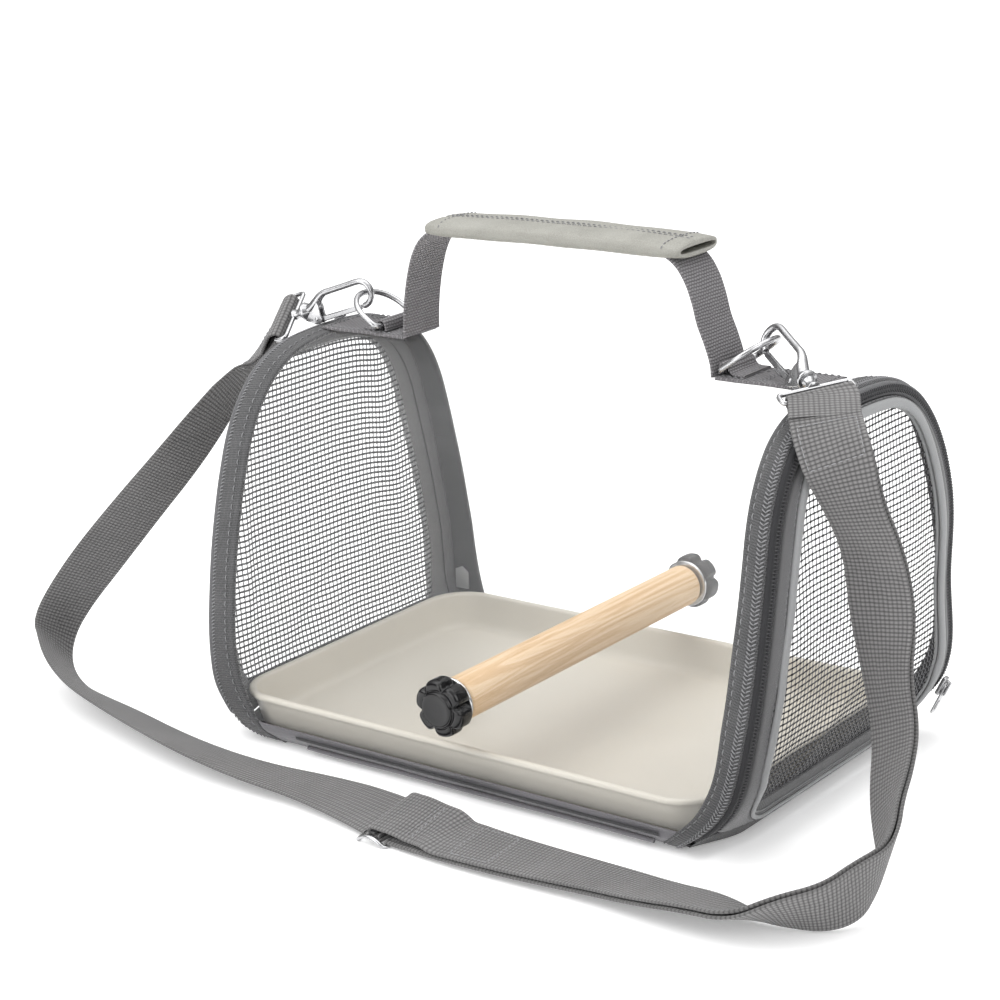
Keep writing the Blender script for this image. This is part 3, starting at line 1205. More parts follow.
# --------------------------------------------------------------------------
# end rims
# --------------------------------------------------------------------------
K = 26


def rim_strip(tab_out, tab_win, sx, push=0.0):
    """Closed cross-section of the binding at every point of the arch: (loop, across, 3)."""
    y, z = OUT[:, 0], OUT[:, 1]
    xo, xi = at(tab_out, z), at(tab_win, z)
    arc = OUT_S[:-1]
    rows = []
    prof = []
    for k in np.linspace(0, 1, 15):           # outer face, from the film to the end
        crown = 0.55 * math.sin(math.pi * min(max(k, 0), 1)) ** 0.8
        prof.append((k, crown + 0.10 - 0.55 * (k > 0.985), 1))
    prof += [(1.0, -0.75, 0), (1.0, -1.6, 0)]
    for k in (0.94, 0.75, 0.5, 0.25, 0.06):   # inner face
        prof.append((k, -1.95, 0))
    prof += [(0.0, -1.5, 0), (-0.01, -0.8, 0)]
    for k, d, out in prof:
        x = xi + (xo - xi) * k
        puck = 0.22 * wob(arc, 14.0 * k + 0 * arc, 22, 7 + sx) * out * math.sin(math.pi * min(max(k, 0), 1))
        line = -0.28 * out * math.exp(-((k - 0.22) / 0.035) ** 2)
        dd = d + puck + line + push
        zz = np.maximum(z + dd * OUT_N[:, 1], 0.03)
        rows.append(np.stack([x, y + dd * OUT_N[:, 0], zz], -1))
    return A(rows).transpose(1, 0, 2), A([abs(k) for k, d, o in prof])


for end, (out_tab, win_tab, sx) in ENDS.items():
    P, ks = rim_strip(out_tab, win_tab, sx)
    V = np.append(ks * 14.0, 0)
    b_ = Build()
    b_.grid(P, cu=True, cv=True, U=OUT_S, V=V, flip=(sx > 0))
    across = P.shape[1]
    b_.mi = [1 if 16 <= k % across <= 21 else 0 for k in range(len(b_.mi))]
    o = b_.done(end + "_rim_binding", [mat_cover, mat_cover_in])
    ease_corner(o, sx)
    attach(o, "carrier"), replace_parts(o, end + "_rim"), o
    # stitches
    y, z = OUT[:, 0], OUT[:, 1]
    xo, xi = at(out_tab, z), at(win_tab, z)
    N3 = np.stack([0 * y, OUT_N[:, 0], OUT_N[:, 1]], -1)
    keep = z > 0.5
    order = np.where(keep)[0]
    b_ = Build()
    w_ = np.abs(xo - xi)

    def line(dist, from_out=False, lift=0.2):
        x = (xo - sx * dist) if from_out else (xi + sx * dist)
        crown = 0.55 * np.sin(np.pi * np.clip(np.abs(x - xi) / np.maximum(w_, 1), 0, 1)) ** 0.8
        k = np.abs(x - xi) / np.maximum(w_, 1)
        dd = lift + crown + 0.1 - 0.28 * np.exp(-((k - 0.22) / 0.035) ** 2)
        return np.stack([x, y + dd * OUT_N[:, 0], z + dd * OUT_N[:, 1]], -1)

    dashes(b_, line(5.2 if end == "left" else 2.8)[order], N3[order], 4.6, 2.9, 0.30)
    # two rows of slanting overlock stitches that meet in a braid near the zipper
    dashes(b_, line(1.9, True)[order], N3[order], 1.9, 1.5, 0.34, slant=2.1)
    if end == "right":
        dashes(b_, line(4.1, True)[order], N3[order], 1.9, 1.5, 0.34, slant=-2.1, start=0.6)
    o = b_.done(end + "_rim_stitches", mat_thread)
    ease_corner(o, sx)
    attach(o, "carrier"), o

# seam across the left end's lining, and the zipper's tag that hangs inside
b_ = Build()
xs_ = np.linspace(-162.5, -150.5, 12)
far_ = OUT[(OUT[:, 0] > 0) & (OUT[:, 1] < 190.0)]
far_ = far_[np.argsort(far_[:, 1])]
wall_ = float(np.interp(118.6, far_[:, 1], far_[:, 0])) - 2.35
tube(b_, np.stack([xs_, 0 * xs_ + wall_, 118.6 + 0.12 * (xs_ + 157.0)], -1), 0.55, 8)
plate(b_, [(-4.6, -6.6), (4.6, -6.6), (4.9, 3.6), (0.6, 6.9), (-4.4, 4.6)], A([-156.4, 95.2, 31.6]),
      A([1.0, 0, 0]), A([0, 0, 1.0]), A([0, -1.0, 0]), 0.35, 0.16, mat=1)
trim_ = b_.done("left_lining_trim", [mat_zip, mat_piping])
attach(trim_, "carrier"), trim_

# --------------------------------------------------------------------------
# zippers, sills
# --------------------------------------------------------------------------
DOOR_SIDE, DOOR_TOP, DOOR_LOW, DOOR_R = 19.0, 12.0, 10.0, 22.0


def end_pt(tab, sx, L, push):
    """Points of a section loop on the end face, pushed out along X."""
    return np.stack([at(tab, L[:, 1]) + sx * push, L[:, 0], L[:, 1]], -1)


def open_loop(L, z_min):
    """The loop's part above z_min, from the +Y side over the top to the -Y side."""
    i = np.where(L[:, 1] > z_min)[0]
    return L[i]


def open_at(L, z_min):
    """Indices of an open loop shared by nested loops: same count for all."""
    return np.where(OUT[:, 1] > z_min)[0]


for end, (out_tab, win_tab, sx) in ENDS.items():
    idx = open_at(OUT, 14.0)
    nest = {}

    def ring(side, top=None, z_low=None):
        top = side if top is None else top
        z_low = side if z_low is None else z_low
        key = (side, top, z_low)
        if key not in nest:
            nest[key] = arch_loop(side, top, z_low, max(CORNER_R - z_low, 3.0))
        return nest[key]

    # tape: folds over from the rim, lies flat under the coil, and on to the gusset
    prof = [(0.5, 0.15), (0.45, 1.5), (0.7, 2.4), (1.5, 2.85), (2.6, 2.7), (3.4, 2.55), (4.4, 2.7), (5.6, 2.75), (6.6, 2.3), (6.8, 1.35), (8.8, 1.2), (8.8, 0.15)]
    rows = []
    for inset, push in prof:
        L = ring(inset)[idx]
        rows.append(end_pt(out_tab, sx, L, push))
    G = A(rows).transpose(1, 0, 2)
    b_ = Build()
    U = np.concatenate([[0], np.cumsum(np.linalg.norm(np.diff(G[:, 4], axis=0), axis=1))])
    V = A([p_[0] + p_[1] * 0.4 for p_ in prof])
    b_.grid(G, U=U, V=V, flip=(sx < 0))
    back_ = G[:, ::-1].copy()
    b_.grid(A([G[:, 0], G[:, -1]]).transpose(1, 0, 2), U=U, V=[0, 6], flip=(sx > 0))
    for e in (0, -1):
        q = G[e]
        mid_ = q.mean(0)
        n0 = b_.n
        F = [[k, k + 1, len(q)] for k in range(len(q) - 1)]
        F = [f if (e == 0) == (sx < 0) else f[::-1] for f in F]
        b_.faces(np.vstack([q, mid_]), F)
    VV = np.vstack(b_.v)
    b_.mi = [1 if sx < 0 or VV[list(f), 1].mean() > -55.0 else 0 for f in b_.f]
    for k in range((len(G) - 1) * (len(prof) - 1)):      # the tape's inner edge is dark all round
        if k % (len(prof) - 1) >= len(prof) - 4:
            b_.mi[k] = 0
    o = b_.done(end + "_zip_tape", [mat_zip, mat_zip_grey])
    ease_corner(o, sx)
    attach(o, "carrier"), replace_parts(o, end + "_zipper"), o
    # teeth: two staggered rows that meet in the middle of the tape
    b_ = Build()
    mid_line = end_pt(out_tab, sx, ring(3.5)[idx], 2.9)
    s_ = arclen(mid_line)
    T = units(np.gradient(mid_line, axis=0))
    pitch = 1.65
    cnt = int((s_[-1] - 4) / pitch)
    g3 = lambda q, x: A([np.interp(x, s_, q[:, k]) for k in range(3)])
    for k in range(cnt):
        s0_ = 2.0 + k * pitch
        c, t = g3(mid_line, s0_), unit(g3(T, s0_))
        nn = square_to((sx, 0, 0), t)
        sd = np.cross(t, nn)
        for row, off_ in ((1, 0.0), (-1, pitch / 2)):
            q = c + off_ * t
            path = A([q + row * 1.75 * sd - 0.35 * nn, q + row * 1.55 * sd + 0.25 * nn, q + row * 0.5 * sd + 0.55 * nn,
                      q - row * 0.12 * sd + 0.45 * nn, q - row * 0.25 * sd + 0.05 * nn])
            tube(b_, path, 0.36 * A([0.8, 1, 1, 1.15, 0.8]), 5, flat=1.0)
    o = b_.done(end + "_zip_coil", mat_tooth)
    ease_corner(o, sx)
    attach(o, "carrier"), o

    # sill under the door
    ymax = lambda z: (98.0 - CORNER_R) + np.sqrt(np.maximum(CORNER_R ** 2 - (CORNER_R - z) ** 2, 0)) - 0.5 if z < CORNER_R else 97.5
    prof = [(-2.5, 0.25), (0.6, 0.28), (1.6, 0.5), (2.3, 1.2), (2.5, 3.0), (2.45, 5.5), (2.35, 8.0), (2.0, 9.2), (1.2, 9.7), (-1.0, 9.75)]
    rows = []
    for push, z in prof:
        yy = np.linspace(-1, 1, 110) * ymax(max(z, 0.4))
        x = at(out_tab, z) + sx * (push + 0.15 * wob(yy, z * 3 + 0 * yy, 30, 11))
        rows.append(np.stack([x, yy, np.full(110, z)], -1))
    G = A(rows).transpose(1, 0, 2)
    b_ = Build()
    b_.grid(G, flip=(sx > 0))
    b_.grid(A([G[:, 0], G[:, -1]]).transpose(1, 0, 2), flip=(sx < 0))
    o = b_.done(end + "_sill_cloth", mat_cover)
    ease_corner(o, sx)
    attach(o, "carrier"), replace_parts(o, end + "_sill"), o

# --------------------------------------------------------------------------
# doors: gusset, piping, mesh
# --------------------------------------------------------------------------
for end, (out_tab, win_tab, sx) in ENDS.items():
    body = end + "_door"
    # gusset
    l0_ = arch_loop(7.3, 7.3, DOOR_LOW, CORNER_R - 4.0)
    l1_ = arch_loop(DOOR_SIDE - 1.0, DOOR_TOP - 1.0, DOOR_LOW + 4.6, DOOR_R)
    arc = np.concatenate([[0], np.cumsum(np.linalg.norm(np.diff(np.vstack([l0_, l0_[:1]]), axis=0), axis=1))])
    rows, V = [], []
    prof = [(0.0, 1.7), (0.0, 2.9)] + [(k, 3.45 + 0.75 * math.sin(math.pi * k)) for k in (0.05, 0.2, 0.35, 0.5, 0.65, 0.8, 0.95)] + [(1.0, 3.4), (1.0, 1.7)]
    for k, push in prof:
        L = l0_ + (l1_ - l0_) * k
        soft = 0.35 * wob(arc[:-1], 9 * k + 0 * arc[:-1], 26, 13 + sx) * (0.1 < k < 0.9)
        rows.append(end_pt(out_tab, sx, L, push + soft))
        V.append(k * 9)
    G = A(rows).transpose(1, 0, 2)
    b_ = Build()
    b_.grid(G, cu=True, U=arc, V=V, flip=(sx < 0))
    b_.grid(A([G[:, 0], G[:, -1]]).transpose(1, 0, 2), cu=True, U=arc, V=[0, 9], flip=(sx > 0))
    o = b_.done(end + "_gusset_cloth", mat_gusset)
    ease_corner(o, sx)
    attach(o, body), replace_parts(o, end + "_door_gusset"), o
    # piping round the panel
    pl = arch_loop(DOOR_SIDE - 2.2, DOOR_TOP - 2.2, DOOR_LOW + 2.2, DOOR_R + 2.0)
    P = end_pt(out_tab, sx, pl, 5.0)
    P[:, 0] += 0.2 * wob(arc[:-1], 0 * arc[:-1], 20, 17)
    b_ = Build()
    t_ = units(np.roll(P, -1, 0) - np.roll(P, 1, 0))
    sd_ = np.cross(t_, np.tile(A([1.0, 0, 0]), (len(P), 1)))
    an = np.linspace(0, 2 * math.pi, 14, endpoint=False)
    exn = np.cross(sd_, t_)
    thin = 0.34 + 0.66 * np.clip((P[:, 2] - 12.0) / 26.0, 0, 1)
    wide = (2.5 * thin)[:, None, None]
    ring_ = P[:, None] + wide * np.cos(an)[None, :, None] * units(sd_)[:, None] + 1.55 * thin[:, None, None] * np.sin(an)[None, :, None] * units(exn)[:, None]
    U = np.concatenate([[0], np.cumsum(np.linalg.norm(np.diff(np.vstack([P, P[:1]]), axis=0), axis=1))])
    b_.grid(ring_, cu=True, cv=True, U=U, V=np.linspace(0, 12, 15))
    o = b_.done(end + "_piping_roll", mat_piping)
    ease_corner(o, sx)
    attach(o, body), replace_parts(o, end + "_door_piping"), o
    b_ = Build()
    nrm_ = units(np.tile(A([sx * 1.0, 0, 0]), (len(P), 1)))
    seam_l = arch_loop(DOOR_SIDE - 5.2, DOOR_TOP - 5.2, DOOR_LOW - 0.2 + 0.6, DOOR_R + 4.0)
    sp_ = end_pt(out_tab, sx, seam_l, 4.05)
    dashes(b_, sp_, nrm_, 3.4, 2.3, 0.22, closed=True)
    o = b_.done(end + "_gusset_stitches", mat_thread_dark)
    ease_corner(o, sx)
    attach(o, body), o

# mesh cloth: real strands with knots where they cross
PAN_HALF = arch_half(DOOR_SIDE - 3.2, DOOR_TOP - 3.2, DOOR_LOW + 1.8, DOOR_R + 2.0, ns=160, na=40, nb=40)
PK = int(np.argmax(PAN_HALF[:, 0]))
PAN_LOOP = np.vstack([PAN_HALF, PAN_HALF[1:-1][::-1] * A([-1, 1])])


def pan_z(y):
    y = np.abs(y)
    lo = np.interp(y, PAN_HALF[:PK + 1, 0], PAN_HALF[:PK + 1, 1])
    up = np.interp(y, PAN_HALF[PK:, 0][::-1], PAN_HALF[PK:, 1][::-1])
    return lo, up


def pan_y(z):
    return np.interp(z, PAN_HALF[:, 1][30:], PAN_HALF[:, 0][30:])


def edge_gap(y, z):
    """Rough distance from the panel's outline."""
    lo, up = pan_z(y)
    side = pan_y(z) - np.abs(y)
    return np.maximum(np.minimum(np.minimum(z - lo, up - z), side), 0)


def pan_x(tab, sx, y, z, seed):
    d = edge_gap(y, z)
    rise = 2.6 * np.exp(-d / 3.2)
    free = 1 - np.exp(-d / 9.0)
    wave = 0.9 * wob(y, z * 0.7, 46, seed) + 0.45 * wob(y + 0.5 * z, z * 0.3, 21, seed + 1)
    # a soft vertical fold close to one side, and a slanting crease low down
    fold = -1.8 * np.exp(-((y + 66 + 3 * np.sin(z / 40)) / 4.5) ** 2) * np.clip((z - 30) / 40, 0, 1)
    slant = 1.1 * np.exp(-(((y - 2) * 0.72 - (z - 70) * 0.69) / 7.0) ** 2) * np.clip((95 - z) / 40, 0, 1)
    return at(tab, z) + sx * (0.95 + rise + free * (wave + fold + slant))


PITCH = 3.0


def net(end, tab, sx, seed):
    b = Build()
    sway = lambda y, z: (0.25 * wob(y, z, 38, seed + 3), 0.30 * wob(z, y, 44, seed + 4))
    an = A([[1, 0], [0, 1], [-1, 0], [0, -1]], float)

    def strand(y, z, r_in, r_out, mat):
        dy, dz = sway(y, z)
        y, z = y + dy, z + dz
        x = pan_x(tab, sx, y, z, seed)
        P = np.stack([x, y, z], -1)
        if len(P) < 3:
            return
        t = units(np.gradient(P, axis=0))
        e1 = np.cross(t, np.tile(A([1.0, 0, 0]), (len(P), 1)))
        e1 = units(e1)
        e2 = np.cross(e1, t)
        R = P[:, None] + an[None, :, 0, None] * r_in * e1[:, None] + an[None, :, 1, None] * r_out * e2[:, None]
        b.grid(R, cv=True, mat=mat)

    ys = np.arange(-28, 29) * PITCH
    zs = 12.0 + np.arange(0, 66) * PITCH
    for y in ys:
        if abs(y) > PAN_HALF[PK, 0] - 0.6:
            continue
        lo, up = pan_z(A([y]))
        n = max(int((up[0] - lo[0]) / 1.5), 3)
        zz = np.linspace(lo[0], up[0], n)
        strand(np.full(n, y), zz, 0.48 if sx < 0 else 0.44, 0.18, 2)
    def sag(y, z):
        """How far the rows hang below level: each panel is slack toward one side."""
        if sx > 0:
            q = np.clip((-y - 40.0) / 42.0, 0, 1)
            return -8.0 * q * q * min(max((z - 45.0) / 110.0, 0.0), 1.0)
        q = np.clip((y - 2.0) / 76.0, 0, 1)
        r = np.clip((y - 18.0) / 40.0, 0, 1)
        return (-7.5 * q * q * (3 - 2 * q) * min(max((z - 15.0) / 130.0, 0.0), 1.0)
                + 1.2 * np.sin(y / 6.5 + z / 34.0) * r * min(max((z - 50.0) / 80.0, 0.0), 1.0))

    def held(y, z):
        return (z > PAN_HALF[0, 1] + 0.8) & (z < PAN_HALF[-1, 1] - 0.8) & (np.abs(y) <= pan_y(z))

    knots = []
    for k, z in enumerate(zs):
        yy = np.linspace(-88.0, 88.0, 141)
        zz = z + sag(yy, z)
        ok = held(yy, zz)
        if ok.sum() < 4:
            continue
        strand(yy[ok], zz[ok], 0.60 if sx < 0 else 0.42, 0.19, 1)
        zk = z + sag(ys, z)
        inside = held(ys, zk)
        knots.append(np.stack([ys[inside], zk[inside]], -1))
    K_ = np.vstack(knots)
    dy, dz = sway(K_[:, 0], K_[:, 1])
    y, z = K_[:, 0] + dy, K_[:, 1] + dz
    x = pan_x(tab, sx, y, z, seed)
    C = np.stack([x, y, z], -1)
    big = (1.3 if sx < 0 else 1.2) * (1 + 0.15 * np.sin(K_[:, 0] * 3.1 + K_[:, 1] * 1.7))
    octa = A([[0.46, 0, 0], [-0.46, 0, 0], [0, 0.82, 0.14], [0, -0.82, -0.14], [0, -0.12, 0.62], [0, 0.12, -0.62]])
    F = [(0, 2, 4), (0, 4, 3), (0, 3, 5), (0, 5, 2), (1, 4, 2), (1, 3, 4), (1, 5, 3), (1, 2, 5)]
    V = (C[:, None] + big[:, None, None] * octa[None]).reshape(-1, 3)
    FF = [[6 * k + q for q in f] for k in range(len(C)) for f in F]
    b.faces(V, FF, mat=0)
    return b.done(end + "_mesh_net", [mat_net_dark, mat_net_mid, mat_net_deep] if sx < 0 else [mat_net_dark, mat_net_pale, mat_net_light])


for k, (end, (out_tab, win_tab, sx)) in enumerate(ENDS.items()):
    body = end + "_door"
    o = net(end, out_tab, sx, 20 + 10 * k)
    ease_corner(o, sx)
    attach(o, body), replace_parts(o, end + "_mesh_panel"), o
    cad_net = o
    # hem tape along the panel's lower edge
    z0, z1 = PAN_HALF[0, 1] - 0.6, PAN_HALF[0, 1] + 12.5
    rows, V = [], []
    for q, lift in ((0.0, 1.2), (0.0, 2.5), (0.08, 2.75), (0.3, 2.6), (0.6, 2.5), (0.92, 2.45), (1.0, 2.2), (1.0, 1.5)):
        zc = z0 + (z1 - z0) * q
        yy = np.linspace(-1, 1, 120) * (pan_y(A([max(zc, PAN_HALF[0, 1] + 0.1)]))[0] + 0.2)
        z = np.full(120, zc) + 0.25 * wob(yy, 0 * yy, 33, 31)
        x = at(out_tab, z) + sx * (lift + 0.25 * wob(yy, z, 28, 32))
        rows.append(np.stack([x, yy, z], -1))
        V.append(q * 12)
    G = A(rows).transpose(1, 0, 2)
    b_ = Build()
    b_.grid(G, V=A(V), flip=(sx > 0))
    b_.grid(A([G[:, 0], G[:, -1]]).transpose(1, 0, 2), flip=(sx < 0))
    hem = b_.done(end + "_hem_tape", mat_cover)
    ease_corner(hem, sx)
    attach(hem, body), hem
    # selvedge that binds the net to the piping
    lo_ = arch_loop(DOOR_SIDE - 3.4, DOOR_TOP - 3.4, DOOR_LOW + 1.4, DOOR_R + 2.4)
    li_ = arch_loop(DOOR_SIDE + 0.4, DOOR_TOP + 0.4, DOOR_LOW + 5.2, DOOR_R - 1.0)
    G = A([end_pt(out_tab, sx, lo_, 2.2), end_pt(out_tab, sx, lo_, 3.6), end_pt(out_tab, sx, li_, 3.2), end_pt(out_tab, sx, li_, 2.0)]).transpose(1, 0, 2)
    b_ = Build()
    b_.grid(G, cu=True, cv=True, flip=(sx < 0))
    o = b_.done(end + "_net_selvedge", mat_piping)
    ease_corner(o, sx)
    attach(o, body), o
    panel_area = 2 * float(np.trapezoid(PAN_HALF[:, 0], PAN_HALF[:, 1])) * 1e-6 if hasattr(np, "trapezoid") else 2 * float(np.trapz(PAN_HALF[:, 0], PAN_HALF[:, 1])) * 1e-6

# --------------------------------------------------------------------------
# tray
# --------------------------------------------------------------------------
TX, THX, THY, TR = -13.0, 148.0, 94.0, 25.0


def tray_ring(inset, z, seg=16, straight=26, bow=0.0):
    hx, hy, r = THX - inset, THY - inset, max(TR - inset, 5.0)
    pts = []
    for qx, qy, a0 in ((1, 1, 0), (-1, 1, 90), (-1, -1, 180), (1, -1, 270)):
        for k in range(seg + 1):
            an = math.radians(a0 + 90.0 * k / seg)
            pts.append((qx * (hx - r) + r * math.cos(an), qy * (hy - r) + r * math.sin(an)))
        nxt = {0: (-1, 1, 90), 90: (-1, -1, 180), 180: (1, -1, 270), 270: (1, 1, 0)}[a0]
        an = math.radians(nxt[2])
        e = (nxt[0] * (hx - r) + r * math.cos(an), nxt[1] * (hy - r) + r * math.sin(an))
        p0 = pts[-1]
        for k in range(1, straight):
            f = k / straight
            pts.append((p0[0] + (e[0] - p0[0]) * f, p0[1] + (e[1] - p0[1]) * f))
    P = A(pts)
    return np.stack([P[:, 0] + TX, P[:, 1], np.full(len(P), z)], -1)


prof = [(20.0, 5.0), (11.0, 4.95), (8.4, 5.0), (7.2, 5.5), (6.5, 6.6), (4.8, 13.0), (3.2, 20.0), (2.75, 22.2), (2.3, 22.75), (1.2, 22.9), (0.45, 23.1), (0.12, 23.6),
        (0.0, 24.3), (0.1, 25.0), (0.5, 25.6), (1.2, 25.95), (2.1, 26.05), (3.0, 25.95), (3.7, 25.6), (4.2, 25.0), (4.5, 24.1),
        (5.0, 21.5), (6.2, 16.5), (7.4, 12.0), (8.2, 9.8), (9.2, 8.3), (10.6, 7.35), (12.4, 6.95), (15.0, 6.82), (24.0, 6.8)]
rows = []
for inset, z in prof:
    R = tray_ring(inset, z)
    if 20 < z:
        R[:, 2] += 0.10 * np.sin(R[:, 0] / 37.0 + 0.6) + 0.08 * np.sin(R[:, 1] / 23.0)
    rows.append(R)
b_ = Build()
b_.grid(A(rows), cv=True, flip=True)
m = len(rows[0])
for row, flip in ((0, False), (len(rows) - 1, True)):
    q = [row * m + k for k in range(m)]
    b_.f.append(q if flip else q[::-1])
    b_.uv.extend([(0, 0)] * m)
    b_.mi.append(0)
o = b_.done("tray_moulding", mat_tray)
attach(o, "tray"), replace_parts(o, "tray"), o

b_ = Build()
R0 = []
for z, ins in ((2.75, 0.4), (3.0, 0.0), (4.3, 0.0), (4.6, 0.4)):
    hx, hy, r = 136.0 - ins, 82.0 - ins, 12.0 - ins
    pts = []
    for qx, qy, a0 in ((1, 1, 0), (-1, 1, 90), (-1, -1, 180), (1, -1, 270)):
        for k in range(9):
            an = math.radians(a0 + 90.0 * k / 8)
            pts.append((qx * (hx - r) + r * math.cos(an) - 12.0, qy * (hy - r) + r * math.sin(an), z))
    R0.append(pts)
b_.grid(A(R0), cv=True, flip=True)
m = 36
b_.f.append(list(range(m))[::-1])
b_.f.append(list(range(3 * m, 4 * m)))
b_.uv.extend([(0, 0)] * (2 * m))
b_.mi.extend([0, 0])
o = b_.done("base_stiffener", mat_board)
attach(o, "carrier"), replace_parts(o, "base_board"), o

# --------------------------------------------------------------------------
# perch, knobs
# --------------------------------------------------------------------------
WALL_Y = 99.6 + (98.9 - 99.6) * (PERCH_Z - 45.0) / 15.0
DOWEL_END = WALL_Y - FILM_T - 0.9
PC = A([PERCH_X, 0, PERCH_Z])
b_ = Build()
prof = [(-DOWEL_END, 3.3), (-DOWEL_END, 9.9), (-DOWEL_END + 0.25, 10.35), (-DOWEL_END + 0.9, 10.95)]
prof += [(y, 11.0) for y in np.linspace(-DOWEL_END + 1.6, DOWEL_END - 1.6, 60)]
prof += [(DOWEL_END - 0.9, 10.95), (DOWEL_END - 0.25, 10.35), (DOWEL_END, 9.9), (DOWEL_END, 3.3)]
lathe(b_, PC, (0, 1, 0), prof, 64)
for s in (-1, 1):
    lathe(b_, PC, (0, s, 0), [(DOWEL_END - 20.0, 0.05), (DOWEL_END - 20.0, 3.15), (DOWEL_END, 3.3)], 64)
dowel = b_.done("perch_dowel_turned", mat_wood)
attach(dowel, "carrier"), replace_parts(dowel, "perch_dowel"), dowel

for side_name, s, mk in (("front", -1, mat_knob), ("rear", 1, mat_knob_rear)):
    ax = A([0, s, 0.0])
    w0 = WALL_Y + 0.35
    b_ = Build()
    prof = [(w0 + 0.02, 3.1), (w0 + 0.02, 12.0), (w0 + 0.2, 12.45), (w0 + 0.6, 12.6), (w0 + 1.0, 12.6), (w0 + 1.4, 12.4), (w0 + 1.58, 11.9), (w0 + 1.6, 3.1)]
    lathe(b_, PC, ax, prof + [prof[0]], 56)
    o = b_.done(side_name + "_washer_disc", mat_washer)
    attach(o, side_name + "_washer"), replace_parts(o, side_name + "_clamp_washer"), o
    k0 = w0 + 1.7
    # (height above the back face, radius, share of the notch that shows)
    prof = [(0.3, 3.05, 0), (0.3, 8.0, 0), (0.0, 8.6, 0), (0.0, 11.6, 0.8), (0.25, 12.9, 1), (0.8, 13.9, 1), (1.8, 14.4, 1), (4.0, 14.5, 1), (7.0, 14.5, 1),
            (8.6, 14.35, 1), (9.6, 13.9, 1), (10.2, 13.2, 1), (10.5, 12.2, 0.95), (10.6, 11.2, 0.7), (10.55, 10.4, 0.35), (10.3, 9.75, 0.0), (10.15, 9.4, 0),
            (10.3, 9.15, 0), (11.0, 9.0, 0), (11.6, 8.75, 0), (11.9, 8.3, 0), (12.0, 7.6, 0), (11.85, 6.6, 0), (11.6, 5.2, 0), (11.5, 3.4, 0), (11.45, 0.02, 0)]
    th = np.linspace(0, 2 * math.pi, 180, endpoint=False)
    e1, e2 = A([1.0, 0, 0]), A([0, 0, 1.0])
    rows = []
    for h, r, share in prof:
        near = np.abs(((th - math.radians(12)) * 6 / (2 * math.pi) + 0.5) % 1.0 - 0.5) * 2 * math.pi / 6 * 14.5
        dip = 2.6 * np.exp(-(near / 2.0) ** 2) + 0.45 * np.exp(-(near / 5.0) ** 2)
        rr = np.maximum(r - share * dip, 0.02)
        rows.append(PC + (k0 + h) * ax + rr[:, None] * (np.cos(th)[:, None] * e1 + np.sin(th)[:, None] * e2))
    b_ = Build()
    b_.grid(A(rows), cv=True, flip=(s > 0))
    # the bore the stud screws into
    bore = [PC + (k0 + h) * ax + r * (np.cos(th)[:, None] * e1 + np.sin(th)[:, None] * e2) for h, r in ((0.3, 3.05), (7.9, 3.05), (7.9, 0.02))]
    b_.grid(A(bore), cv=True, flip=(s < 0))
    o = b_.done(side_name + "_knob_lobed", mk)
    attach(o, side_name + "_knob"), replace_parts(o, side_name + "_knob"), o
    # threaded stud
    b_ = Build()
    y0_, y1_ = DOWEL_END - 17.9, k0 + 7.8
    prof = [(y0_, 0.02), (y0_, 2.4)]
    for k in range(int((y1_ - y0_ - 1.2) / 0.5)):
        prof.append((y0_ + 0.5 + k * 0.5, 2.95 if k % 2 else 2.6))
    prof += [(y1_ - 0.3, 2.5), (y1_, 2.2), (y1_, 0.02)]
    lathe(b_, PC, ax, prof, 32)
    o = b_.done(side_name + "_stud_thread", mat_steel)
    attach(o, side_name + "_knob"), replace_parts(o, side_name + "_stud"), o

# --------------------------------------------------------------------------
# handle: anchors, keepers, webbing, grip
# --------------------------------------------------------------------------
TOP_Z, HANDLE_W, HANDLE_T, GRIP_Z = 202.3, 28.0, 1.8, 261.5
arc_l = [(-93.6, TOP_Z + 1.2), (-93.4, TOP_Z + 6), (-92.4, 218.0), (-90.6, 228.0),
         (-88.0, 238.0), (-84.6, 247.0), (-79.6, 254.4), (-73.0, 259.0),
         (-64.0, 261.0), (-50.0, GRIP_Z)]
arc_r = [(-x - 4.0 if i > 1 else -x, z) for i, (x, z) in enumerate(arc_l)]
arc_r[2] = (90.6, 218.0)
strip = arc_l + arc_r[::-1]
P = A([(x, 0.0, z) for x, z in strip])
c = hermite(P, (0.02, 0, 1), (0.02, 0, -1), 6)
t = units(np.gradient(c, axis=0))
w = np.tile(A([0, 1.0, 0]), (len(c), 1))
b_ = Build()
ribbon(b_, c, t, w, np.cross(t, w), HANDLE_W, HANDLE_T)
hw = b_.done("handle_webbing_strap", mat_handle_web)
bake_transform(hw)
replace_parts(hw, "handle_webbing"), hw

